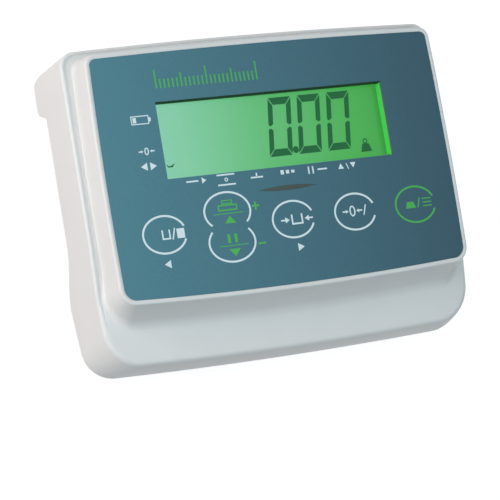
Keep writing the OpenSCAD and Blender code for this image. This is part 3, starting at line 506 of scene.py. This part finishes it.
SLEEVE = grainy("capacitor_sleeve", (0.03, 0.035, 0.09), rough=0.25, mottle=0.05)
BATTERY = grainy("battery_case", (0.08, 0.09, 0.10), rough=0.55, mottle=0.06)
CABLE = grainy("cable_grey", (0.40, 0.42, 0.44), rough=0.5, mottle=0.04, stretch=(6, 1, 1))
TINT = grainy("tinted_plastic", (0.035, 0.055, 0.045), rough=0.2, mottle=0.05)
LAMP = grainy("lamp", (0.10, 0.45, 0.06), rough=0.2, mottle=0.05, emission=(0.3, 0.9, 0.1), strength=0.4)
BACKLIGHT = grainy("backlight", (0.3, 0.8, 0.3), rough=0.4, mottle=0.02, emission=(0.1, 0.8, 0.12),
                   strength=0.6)
SEGMENT = grainy("segments", (0.004, 0.03, 0.01), rough=0.4, mottle=0.03, specular=0.1,
                 emission=(0.006, 0.11, 0.03), strength=0.9)
# Painted light: the display's frame and the window's walls glow green as if lit by the display, though they
# are no lamp.
GLOW = grainy("green_lit_plastic", (0.06, 0.34, 0.08), rough=0.4, mottle=0.04,
              emission=(0.012, 0.46, 0.03), strength=0.7)
# Painted shade: a dark green for the top edge of the window, where shade falls.
SHADE = grainy("shaded_window_edge", (0.008, 0.060, 0.018), rough=0.6, mottle=0.06, specular=0.1)


# %% The printed film, teal on the left running to slate on the right: a painted light that makes the left brighter
def film_material():
    """The ramp's colours, a painted light brighter on the left, times the faint blotches that `grainy` made.
    """
    material = grainy("overlay_film", (1, 1, 1), rough=0.40, mottle=0.09, mottle_scale=900, grain=0.00002,
                      scale=2200, specular=0.35)
    tree = material.node_tree
    blotches = tree.nodes["Color Ramp"].outputs["Color"]
    # Painted light: the ramp makes the film a brighter teal on the left, where the light falls, and a darker
    # slate on the right.
    colors = across_ramp(tree, -0.095, 0.095, [(0, (0.081, 0.250, 0.315)), (1, (0.049, 0.122, 0.168))])
    blend = add_node(tree, "Mix", {"Factor": 1, "A": colors, "B": blotches}, data_type="RGBA",
                     blend_type="MULTIPLY")
    tree.links.new(blend.outputs["Result"], tree.nodes["Principled BSDF"].inputs["Base Color"])
    return material


FILM = film_material()


# %% The display: lit from behind, with a painted reflection that makes it paler to the left
def display_material():
    """A green that glows; its colours run from the left to the right, paler on the left with a painted
    reflection.
    """
    material = grainy("display_green", (0.03, 0.10, 0.04), rough=0.3, mottle=0.02, strength=0.9)
    tree = material.node_tree
    # The pale left end of this ramp is a painted reflection in the display's glow.
    colors = across_ramp(tree, -0.062, 0.064, [
        (0, (0.23, 0.59, 0.41)), (0.45, (0.085, 0.45, 0.14)), (0.85, (0.036, 0.375, 0.04)),
        (0.95, (0.028, 0.335, 0.028)), (1, (0.020, 0.27, 0.020))])
    tree.links.new(colors, tree.nodes["Principled BSDF"].inputs["Emission Color"])
    return material


DISPLAY = display_material()


# %% Clear plastic: mostly see-through, with a soft sheen
def clear_material():
    """A clear window: almost nothing but its gloss is seen."""
    material = grainy("clear_plastic", (0.25, 0.35, 0.30), rough=0.12, rough_range=0.04, mottle=0.01,
                      grain=0.000002)
    material.node_tree.nodes["Principled BSDF"].inputs["Alpha"].default_value = 0.03
    return material


CLEAR = clear_material()
print("made", len(bpy.data.materials), "materials")

# %% [markdown]
# ## Put the housing in place
#
# The shell stands for the CAD node `front_housing`. Four long bosses take the case screws and four short
# ones take the screws of the display board.

# %% Bosses inside the shell
def add_boss(bm, x, y, r, hole, z0, z1):
    """A tube with a blind hole from below."""
    ring = new_ring(bm, circle(x, y, hole, z1 - 1, 24))
    cap(bm, ring[::-1])
    for radius, z in ((hole, z0), (r, z0), (r, z1)):
        ring = pull_ring(bm, ring, circle(x, y, radius, z, 24))
    cap(bm, ring)


def color_window_edge(bm):
    """The edge of the window is painted with the display's light, and its top with painted shade."""
    cx, cy, w, l = WINDOW
    low, high, near = PANEL_BACK_Z - 0.1, RECESS_Z + 0.1, 0.1
    for f in bm.faces:
        c = f.calc_center_median()
        inside = abs(c.x - cx) < w / 2 + near and abs(c.y - cy) < l / 2 + near
        if inside and low < c.z < high and min(v.co.z for v in f.verts) > low:
            at_top, at_right = c.y > cy + l / 2 - 1, c.x > cx + w / 2 - 1
            # Painted shade on the top faces, a painted green glow on the right and upright faces, and the
            # display's glow as painted light on level faces.
            skin = SHADE if at_top else GLOW if at_right or abs(f.normal.z) < 0.5 else DISPLAY
            f.material_index = HOUSING_SKINS.index(skin)


# Case plastic, then the painted glow, the painted shade and the display's painted light for the edge of the
# window.
HOUSING_SKINS = [CASE_PLASTIC, GLOW, SHADE, DISPLAY]
TOP_SCREW, LOW_SCREW = (72, 58), (82, -68)
shell = housing_mesh()
shell.normal_update()
color_window_edge(shell)
for side in (-1, 1):
    add_boss(shell, side * TOP_SCREW[0], TOP_SCREW[1], 4, 1.55, 14.6, 49.2)
    add_boss(shell, side * LOW_SCREW[0], LOW_SCREW[1], 4, 1.55, 15.6, 35.2)
    for y in (0, 43):
        add_boss(shell, side * 76, y, 3, 1.3, 40.1, 49.2)
housing = finish_mesh(shell, "housing", CASE_PLASTIC, angle=50)
for material in HOUSING_SKINS[1:]:
    housing.data.materials.append(material)
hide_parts("front_housing")
print("housing", len(housing.data.polygons), "faces")

# %% [markdown]
# ## The printed overlay
#
# The overlay is a film with a window, an opening round each single key, one round both halves of the
# double key, and a slim window for a lamp. Flat shapes with holes are cut into triangles between their
# outlines and then given a thickness.

# %% Flat shapes with holes
def flat_piece(bm, loops, z0, z1, dx=0.0):
    """Fill an outer loop with holes in it, and raise the sheet from z0 to z1."""
    places, edges = [], []
    for loop in loops:
        n, start = len(loop), len(places)
        places += [Vector((x + dx, y)) for x, y in loop]
        edges += [(start + i, start + (i + 1) % n) for i in range(n)]
    outer = list(range(len(loops[0])))
    turn = sum(places[i - 1].x * places[i].y - places[i].x * places[i - 1].y for i in outer)
    face = outer if turn > 0 else outer[::-1]
    points, _, triangles, _, _, _ = delaunay_2d_cdt(places, edges, [face], 2, 1e-5)
    corners = [bm.verts.new((p.x, p.y, z0)) for p in points]
    faces = [bm.faces.new([corners[i] for i in triangle]) for triangle in triangles]
    raised = bmesh.ops.extrude_face_region(bm, geom=faces)["geom"]
    upper = [v for v in raised if isinstance(v, bmesh.types.BMVert)]
    bmesh.ops.translate(bm, verts=upper, vec=(0, 0, z1 - z0))


def ellipse(cx, cy, w, l, n=64):
    """Points of an ellipse by its width and length."""
    turns = [2 * math.pi * i / n for i in range(n)]
    return [(cx + w / 2 * math.cos(a), cy + l / 2 * math.sin(a)) for a in turns]


def lens_points(n=16):
    """The slim window: two arcs that meet in points."""
    a, b = LENS_W / 2, LENS_L / 2
    r = (a * a + b * b) / (2 * b)
    sweep = math.asin(a / r)
    turns = [sweep * (1 - 2 * i / n) for i in range(n)]
    top = [(KEY_ROW_X + r * math.sin(t), LENS_Y + b - r + r * math.cos(t)) for t in turns]
    low = [(KEY_ROW_X - r * math.sin(t), LENS_Y - b + r - r * math.cos(t)) for t in turns]
    return top + low


def key_outline(name, grow=0.0, gap=0.01):
    """Outline of one key; the two halves of the double key meet in a straight line."""
    single = {"key_net": 0, "key_tare": 2, "key_zero": 3, "key_unit": 4}
    if name in single:
        return ellipse(KEY_X[single[name]], KEY_Y, *(d + 2 * grow for d in KEY_SIZE))
    half = (TWIN_Y[0] - TWIN_Y[1]) / 2 - gap
    w, l = (d + 2 * grow for d in TWIN_SIZE)
    side, y = (1, TWIN_Y[0]) if name == "key_up" else (-1, TWIN_Y[1])
    start = math.asin(half / (l / 2))
    sweep = [-start + (math.pi + 2 * start) * i / 48 for i in range(49)]
    return [(KEY_X[1] + side * w / 2 * math.cos(a), y + side * l / 2 * math.sin(a)) for a in sweep]


# %% Overlay and keys
def window_points():
    """The four corners of the display window."""
    cx, cy, w, l = WINDOW
    return [(cx + a * w / 2, cy + b * l / 2) for a, b in ((1, 1), (-1, 1), (-1, -1), (1, -1))]


bm = bmesh.new()
loops = [[(x, y) for x, y, nx, ny in panel_outline(0)], window_points(), lens_points()]
twin = key_outline("key_up", KEY_GAP, 0) + key_outline("key_down", KEY_GAP, 0)[1:-1]
loops += [key_outline(k, KEY_GAP) for k in KEYS if k not in ("key_up", "key_down")] + [twin]
flat_piece(bm, loops, FILM_Z, INK_Z)
overlay = finish_mesh(bm, "overlay_sheet", FILM, flat=True)
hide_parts("overlay")

for name in KEYS:
    bm = bmesh.new()
    flat_piece(bm, [key_outline(name)], FILM_Z, INK_Z)
    disc = finish_mesh(bm, name + "_cap", FILM, body=name + "_body", flat=True)
    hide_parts(name)
print("overlay and", len(KEYS), "keys")

# %% [markdown]
# ## Print
#
# The ink is a thin layer on the film. The keys, and the places beside and below the display, carry plain
# signs. Each stroke is a flat shape of its own.

# %% Shapes for print
def add_poly(bm, points, z0=INK_Z, z1=PANEL_Z):
    """A filled shape."""
    flat_piece(bm, [points], z0, z1, PRINT_X)


def add_bar(bm, x0, y0, x1, y1, width):
    """A straight stroke from one point to another."""
    d = Vector((x1 - x0, y1 - y0))
    n = Vector((-d.y, d.x)).normalized() * width / 2
    add_poly(bm, [(x0 + n.x, y0 + n.y), (x0 - n.x, y0 - n.y), (x1 - n.x, y1 - n.y), (x1 + n.x, y1 + n.y)])


def add_arc(bm, cx, cy, w, l, start, end, width, z0=INK_Z, z1=PANEL_Z):
    """A curved stroke along an ellipse, from one angle to another."""
    n = max(6, int(abs(end - start) / (4)))
    outer, inner = [], []
    for i in range(n + 1):
        a = math.radians(start + (end - start) * i / n)
        outer.append((cx + (w + width) / 2 * math.cos(a), cy + (l + width) / 2 * math.sin(a)))
        inner.append((cx + (w - width) / 2 * math.cos(a), cy + (l - width) / 2 * math.sin(a)))
    if abs(end - start) >= 360:
        flat_piece(bm, [outer[:-1], inner[:-1]], z0, z1, PRINT_X)
    else:
        add_poly(bm, outer + inner[::-1], z0, z1)


def add_frame(bm, x0, y0, x1, y1, t):
    """A rectangular outline with strokes of one width, between two corners."""
    box = lambda d: [(x0 + d, y0 + d), (x1 - d, y0 + d), (x1 - d, y1 - d), (x0 + d, y1 - d)]
    flat_piece(bm, [box(0), box(t)], INK_Z, PANEL_Z, PRINT_X)


def add_plus(bm, cx, cy, size, t):
    """A plus sign about its middle."""
    a, b = size / 2, t / 2
    corners = ((-a, -b), (-b, -b), (-b, -a), (b, -a), (b, -b), (a, -b),
               (a, b), (b, b), (b, a), (-b, a), (-b, b), (-a, b))
    add_poly(bm, [(cx + x, cy + y) for x, y in corners])


def add_arrow(bm, x0, x1, y, head, t):
    """A level arrow whose tip is at x1; half its head is 0.62 of the head's length."""
    neck = x1 - head if x1 > x0 else x1 + head
    add_poly(bm, [(x0, y - t / 2), (neck, y - t / 2), (neck, y - head * 0.62), (x1, y),
                  (neck, y + head * 0.62), (neck, y + t / 2), (x0, y + t / 2)])


def ink(bm, name, material, body="case"):
    """Turn strokes into one printed piece that rides with its body."""
    obj = finish_mesh(bm, name, material, body=body, flat=True)


# %% Rings round the keys, with their gaps
white, green = bmesh.new(), bmesh.new()
RING_X = [x - PRINT_X for x in KEY_X]
RING, TWIN_RING = [[d + 2 * RING_STEP for d in size] for size in (KEY_SIZE, TWIN_SIZE)]
for i in (0, 2, 3):
    add_arc(white, RING_X[i], KEY_Y, *RING, 21, 341, RING_INK)
add_arc(green, RING_X[4], KEY_Y, *RING, 22, 341, RING_INK)
add_arc(white, RING_X[1], TWIN_Y[0], *TWIN_RING, -39, 222, RING_INK)
add_arc(white, RING_X[1], TWIN_Y[1], *TWIN_RING, 142, 399, RING_INK)

# %% Triangles under two keys, plus and minus beside the double key
add_poly(white, [(-71.5, -30.9), (-68.0, -33.0), (-68.0, -29.0)])
add_poly(white, [(1.7, -28.6), (1.7, -32.6), (5.2, -30.6)])
add_plus(green, -18.05, -7.4, 4.2, 0.9)
add_bar(green, -19.8, -26.3, -15.6, -26.3, 0.9)

# %% Marks left of the display: a battery, a nought between arrows, and two triangles
def battery_mark(bm, x, y, w, h):
    """A battery with its cap and one bar of charge."""
    add_frame(bm, x, y, x + w, y + h, 0.5)
    add_bar(bm, x + w + 0.1, y + h / 2, x + w + 1.0, y + h / 2, h * 0.45)
    add_bar(bm, x + 1.0, y + h / 2, x + 2.8, y + h / 2, h * 0.6)


def nought_mark(bm, cx, cy, h, arrow=3.2, width=0.6):
    """A nought between two arrows that point at it."""
    add_arc(bm, cx, cy, h * 0.55, h, 0, 360, width)
    gap = h * 0.28 + width / 2 + 0.5
    for s in (-1, 1):
        add_arrow(bm, cx + s * (gap + arrow), cx + s * gap, cy, arrow * 0.45, width)


battery_mark(white, -76.9, 38.6, 9.6, 4.4)
nought_mark(white, -71.2, 25.2, 3.2, arrow=2.6)
for s in (-1, 1):
    add_poly(white, [(-71.3 + s * 0.8, 19.7), (-71.3 + s * 0.8, 15.7), (-71.3 + s * 4.2, 17.7)][::s])

# %% Marks below the display: bars, dots and triangles
add_bar(white, -53, 8.0, -46.5, 8.0, 0.8)
add_poly(white, [(-44.6, 6.4), (-44.6, 9.6), (-42.2, 8.0)])
for y in (9.6, 4.6):
    add_bar(white, -36.3, y, -26.6, y, 0.8)
add_arc(white, -31.4, 7.1, 1.5, 1.5, 0, 360, 0.5)
add_bar(white, -18.0, 6.6, -11.2, 6.6, 0.8)
add_bar(white, -14.6, 8.8, -14.6, 6.8, 0.8)
for i in range(3):
    add_bar(white, -1.2 + 3.0 * i, 7.6, 0.6 + 3.0 * i, 7.6, 2.2 - 0.4 * i)
add_bar(white, 14.6, 9.0, 14.6, 5.2, 0.8)
add_bar(white, 17.0, 9.0, 17.0, 5.2, 0.8)
add_bar(white, 19.6, 7.1, 25.0, 7.1, 0.8)
add_poly(white, [(31.4, 6.0), (34.6, 6.0), (33.0, 8.8)])
add_bar(white, 36.2, 8.6, 37.2, 5.6, 0.5)
add_poly(white, [(38.4, 8.8), (41.6, 8.8), (40.0, 6.0)])

# %% A green graduation in the top left of the panel
for i in range(25):
    x, tall = -60.5 + 2.3 * i, 9.5 if i % 12 == 0 else 7.0 if i % 6 == 0 else 4.6
    add_bar(green, x, 55.6, x, 55.6 + tall, 0.75)
ink(white, "white_print", WHITE_INK)
ink(green, "green_print", GREEN_INK)

# %% Signs on the keys: a pan and a full one, arrows to a pan, a nought, a weight and three bars
def pan_outline(bm, x0, x1, y0, y1, t=0.75):
    """A pan seen from the side: open at the top."""
    add_poly(bm, [(x0, y1), (x0, y0), (x1, y0), (x1, y1), (x1 - t, y1), (x1 - t, y0 + t), (x0 + t, y0 + t),
                  (x0 + t, y1)])


bm = bmesh.new()
pan_outline(bm, -70.4, -65.9, -18.9, -14.1)
add_bar(bm, -64.9, -19.2, -63.3, -13.6, 0.7)
add_poly(bm, [(-62.4, -14.1), (-62.4, -18.9), (-58.3, -18.9), (-58.3, -14.1)])
ink(bm, "net_sign", WHITE_INK, body="key_net_body")

bm = bmesh.new()
pan_outline(bm, 0.4, 6.8, -19.2, -14.0, 0.85)
add_arrow(bm, -5.4, -0.6, -16.6, 2.4, 0.8)
add_arrow(bm, 12.4, 7.8, -16.6, 2.4, 0.8)
ink(bm, "tare_sign", WHITE_INK, body="key_tare_body")

bm = bmesh.new()
nought_mark(bm, 35.2, -16.0, 4.8, arrow=3.4, width=0.75)
add_bar(bm, 41.4, -18.6, 43.1, -13.4, 0.65)
ink(bm, "zero_sign", WHITE_INK, body="key_zero_body")

bm = bmesh.new()
add_poly(bm, [(66.0, -18.2), (72.0, -18.2), (70.8, -14.9), (67.2, -14.9)])
add_bar(bm, 73.2, -18.2, 74.7, -13.2, 0.65)
for k, y in enumerate((-13.9, -15.8, -17.7)):
    add_bar(bm, 76.2, y, 81.4, y, 0.55)
ink(bm, "unit_sign", GREEN_INK, body="key_unit_body")

# %% Signs on the double key: stacked sheets over an arrow up, two bars over an arrow down
bm = bmesh.new()
add_frame(bm, -38.6, -8.3, -28.0, -5.2, 0.7)
add_frame(bm, -36.3, -5.0, -30.3, -2.9, 0.55)
add_bar(bm, -41.4, -9.7, -25.2, -9.7, 0.4)
add_poly(bm, [(-36.0, -14.6), (-29.8, -14.6), (-32.9, -10.9)])
ink(bm, "key_up_sign", GREEN_INK, body="key_up_body")

bm = bmesh.new()
for x in (-35.2, -31.4):
    add_bar(bm, x, -24.4, x, -20.0, 1.5)
add_bar(bm, -40.6, -25.7, -25.0, -25.7, 0.4)
add_poly(bm, [(-36.0, -27.4), (-32.9, -31.2), (-29.8, -27.4)])
ink(bm, "key_down_sign", GREEN_INK, body="key_down_body")
print("print and signs")

# %% [markdown]
# ## Digits on the display
#
# The digits lean to the right. All three are noughts, so each has six straight bars and no middle bar.

# %% Seven-segment digits
# The bars lie on the display glass between these heights, and lean this far for each millimetre up.
SEG_Z = (LCD_Z + 0.02, LCD_Z + 0.06)
SLANT = 4.0 / 30.0


def add_nought(bm, x0, y0, w=13.0, h=30.0, t=3.7, gap=0.28):
    """The six bars of a nought with slanted cuts where they meet; upright bars are a little thinner."""
    m, thin, tip = h / 2, t * 0.72, t * 0.3
    bars = [
        [(gap, h), (w - gap, h), (w - thin - gap, h - t), (thin + gap, h - t)],
        [(gap, 0), (thin + gap, t), (w - thin - gap, t), (w - gap, 0)],
        [(0, h - gap * 2), (thin, h - t - gap), (thin, m + 1.6), (tip, m + 0.5), (0, m + 1.2)],
        [(0, gap * 2), (0, m - 1.2), (tip, m - 0.5), (thin, m - 1.6), (thin, t + gap)],
        [(w, h - gap * 2), (w, m + 1.2), (w - tip, m + 0.5), (w - thin, m + 1.6), (w - thin, h - t - gap)],
        [(w, gap * 2), (w - thin, t + gap), (w - thin, m - 1.6), (w - tip, m - 0.5), (w, m - 1.2)],
    ]
    for bar in bars:
        add_poly(bm, [(x0 + x + SLANT * y, y0 + y) for x, y in bar], *SEG_Z)


bm = bmesh.new()
for x0 in (-2.6, 14.0, 30.8):
    add_nought(bm, x0, 16.6)

# %% The point, and a small mark in the lower left corner
add_poly(bm, ellipse(12.5, 19.1, 3.4, 3.6, n=20), *SEG_Z)
add_poly(bm, [(-59.6, 18.6), (-58.6, 16.9), (-56.2, 16.9), (-54.6, 18.8), (-56.4, 18.0), (-57.0, 17.6),
              (-58.2, 17.6)], *SEG_Z)

# %% A small weight as the sign for the unit
add_poly(bm, [(49.4, 14.2), (55.8, 14.2), (54.4, 18.4), (50.6, 18.4)], *SEG_Z)
add_arc(bm, 52.5, 19.7, 2.2, 2.2, 0, 360, 0.6, *SEG_Z)
digits = finish_mesh(bm, "digits", SEGMENT, flat=True)
print("digits", len(digits.data.polygons), "faces")

# %% [markdown]
# ## Screws in the back
#
# The four case screws have round heads with a cross recess.

# %% A screw with a cross in its head
def cross_points(x, y, z, reach, waist, n):
    """A ring that reaches out in four directions and stays at its waist between them."""
    ring = []
    for i in range(n):
        t = 2 * math.pi * i / n
        quarter = t % (math.pi / 2)
        r = reach if min(quarter, math.pi / 2 - quarter) < 0.3 else waist
        ring.append((x + r * math.cos(t), y + r * math.sin(t), z))
    return ring


def add_screw(bm, x, y, z, length=10, r=1.5, head_r=2.8, head_h=2.2):
    """A screw that points up: head below the height z, shank with its thread above it."""
    n = 24
    ring = new_ring(bm, circle(x, y, r * 0.6, z + length, n))
    cap(bm, ring)
    profile = [(r, length - 0.8)]
    for i in range(length - 2):
        top = length - 1.2 - i
        profile += [(r, top), (r * 0.82, top - 0.25), (r * 0.82, top - 0.5), (r, top - 0.75)]
    profile += [(r, 0), (head_r, 0), (head_r, -head_h * 0.35), (head_r * 0.86, -head_h * 0.8),
                (head_r * 0.6, -head_h)]
    for radius, height in profile:
        ring = pull_ring(bm, ring, circle(x, y, radius, z + height, n))
    for share, height in ((1, -head_h), (0.8, -head_h + head_h * 0.6)):
        reach, waist = head_r * 0.42 * share, head_r * 0.13 * 1.5 * share
        ring = pull_ring(bm, ring, cross_points(x, y, z + height, reach, waist, n))
    cap(bm, ring)


bm = bmesh.new()
for side in (-1, 1):
    add_screw(bm, side * TOP_SCREW[0], TOP_SCREW[1], 12)
    add_screw(bm, side * LOW_SCREW[0], LOW_SCREW[1], 13)
screws = finish_mesh(bm, "cross_screws", STEEL, angle=40)
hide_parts("case_screws")

# %% [markdown]
# ## Materials for the pieces that come from the CAD
#
# These keep their exact shape, and each gets the material of its kind. The display's frame glows with painted
# green light, and the spacer's film is painted green as if lit by the display.

# %% Give every carried node its material
PAINT = {
    "rear_cover": COVER_PLASTIC, "latch_tongue": COVER_PLASTIC, "spacer_sheet": EDGE_FILM,
    "keypad_sheet": CIRCUIT_FILM, "snap_domes": STEEL, "lcd_window": CLEAR, "lcd_frame": GLOW,
    "lcd_glass": DISPLAY, "backlight_plate": BACKLIGHT, "display_board": BOARD, "display_screws": STEEL,
    "indicator_lens": TINT, "indicator_led": LAMP, "main_board": BOARD, "board_screws": STEEL,
    "board_chips": BLACK, "capacitors": SLEEVE, "heat_sink": ALUMINIUM, "buzzer": BLACK,
    "header_sockets": WHITE_PLASTIC, "ribbon_cable": CABLE, "battery": BATTERY, "battery_terminals": BRASS,
    "battery_strap": STEEL, "strap_screws": STEEL, "transformer_core": CORE, "transformer_coil": TAPE,
    "transformer_bracket": STEEL, "transformer_screws": STEEL, "switch_body": BLACK, "switch_rocker": BLACK,
    "switch_terminals": BRASS, "inlet_body": BLACK, "inlet_pins": NICKEL, "socket_shell": NICKEL,
    "socket_insert": BLACK, "socket_pins": BRASS, "socket_nut": NICKEL,
}
nodes = {o.name: o for o in bpy.data.objects if o.name in PAINT}
for name, material in PAINT.items():
    node = nodes[name]
    node.data.materials.clear()
    node.data.materials.append(material)
print("painted", len(nodes), "carried nodes")

# %% [markdown]
# ## Floor and light
#
# A plain floor and three large soft lights: a warm one low on the left, and two cooler ones, overhead and
# beyond the bottom edge. For the camera the floor glows nearly white and keeps the object's soft shadow. It
# can be seen through from below, and it bounces no light up, so that the back can be looked at too.

# %% Floor
def floor_material():
    """Pale and glowing for what looks at it, clear from below and for light that bounces."""
    material = bpy.data.materials.new("floor")
    material.use_nodes = True
    tree = material.node_tree
    path = add_node(tree, "LightPath", {}).outputs
    seen = add_node(tree, "Math", {0: path["Is Camera Ray"], 1: path["Is Glossy Ray"]}, operation="MAXIMUM")
    also = add_node(tree, "Math", {0: seen.outputs["Value"], 1: path["Is Transmission Ray"]},
                    operation="MAXIMUM")
    level = add_node(tree, "Math", {0: also.outputs["Value"], 1: 0.86}, operation="MULTIPLY")

    shader = tree.nodes["Principled BSDF"]
    shader.inputs["Base Color"].default_value = (0.32, 0.32, 0.32, 1)
    shader.inputs["Roughness"].default_value = 0.9
    shader.inputs["Specular IOR Level"].default_value = 0
    shader.inputs["Emission Color"].default_value = (1, 1, 1, 1)
    tree.links.new(level.outputs["Value"], shader.inputs["Emission Strength"])

    side = add_node(tree, "NewGeometry", {}).outputs["Backfacing"]
    open_to = add_node(tree, "Math", {0: side, 1: path["Is Diffuse Ray"]}, operation="MAXIMUM")
    clear = add_node(tree, "BsdfTransparent", {})
    either = add_node(tree, "MixShader", {"Fac": open_to.outputs["Value"], 1: shader.outputs["BSDF"],
                                          2: clear.outputs["BSDF"]})
    tree.links.new(either.outputs["Shader"], tree.nodes["Material Output"].inputs["Surface"])
    return material


mesh = bpy.data.meshes.new("floor")
bm = bmesh.new()
bmesh.ops.create_grid(bm, x_segments=2, y_segments=2, size=6)
bm.to_mesh(mesh)
bm.free()
floor = bpy.data.objects.new("floor", mesh)
mesh.materials.append(floor_material())
bpy.context.scene.collection.objects.link(floor)

# %% Lights
def area_light(name, place, size, power, color):
    """A soft rectangular light that looks at the middle of the object."""
    data = bpy.data.lights.new(name, "AREA")
    data.shape = "RECTANGLE"
    data.size, data.size_y = size
    data.energy = power
    data.color = color
    lamp = bpy.data.objects.new(name, data)
    lamp.location = place
    aim = Vector((0, 0, 0.03))
    lamp.rotation_euler = (aim - Vector(place)).to_track_quat("-Z", "Y").to_euler()
    bpy.context.scene.collection.objects.link(lamp)


area_light("left_softbox", (-0.95, 0.30, 0.42), (0.9, 0.7), 8.3, (1.0, 0.93, 0.905))
area_light("top_softbox", (0.1, 0.2, 1.6), (1.4, 1.0), 6.7, (0.76, 0.95, 1.0))
area_light("low_softbox", (-0.1, -1.0, 1.4), (1.4, 0.7), 5.2, (0.76, 0.92, 1.0))

# %% A faint even light from all round
world = bpy.context.scene.world or bpy.data.worlds.new("World")
bpy.context.scene.world = world
world.use_nodes = True
sky = world.node_tree.nodes["Background"]
sky.inputs["Color"].default_value = (0.92, 0.965, 1.0, 1)
sky.inputs["Strength"].default_value = 0.23

# %% [markdown]
# ## Camera
#
# The camera stands to the left and beyond the bottom edge, looks down on the panel and is rolled a
# little. Its lens is as long as 2300 pixels of a picture that is 500 pixels wide.

# %% Camera
def photo_camera():
    """The three directions are the picture's right, its down and its depth, in the frame of the part."""
    right = Vector((0.8950902474, -0.1658106852, 0.4139085232))
    down = Vector((-0.1142909388, -0.9825911539, -0.1464657150))
    ahead = Vector((0.4309884340, 0.0837940394, -0.8984584179))
    place = Vector((-514.83, -124.12, 1072.16)) * MM
    turn = Matrix((right, -down, -ahead)).transposed()
    data = bpy.data.cameras.new("camera")
    data.sensor_width = 36
    data.lens = 2300 / 500 * data.sensor_width
    data.clip_start = 0.05
    data.clip_end = 50
    camera = bpy.data.objects.new("camera", data)
    camera.matrix_world = Matrix.Translation(place) @ turn.to_4x4()
    bpy.context.scene.collection.objects.link(camera)
    bpy.context.scene.camera = camera


photo_camera()
bpy.context.scene.view_settings.view_transform = "Standard"
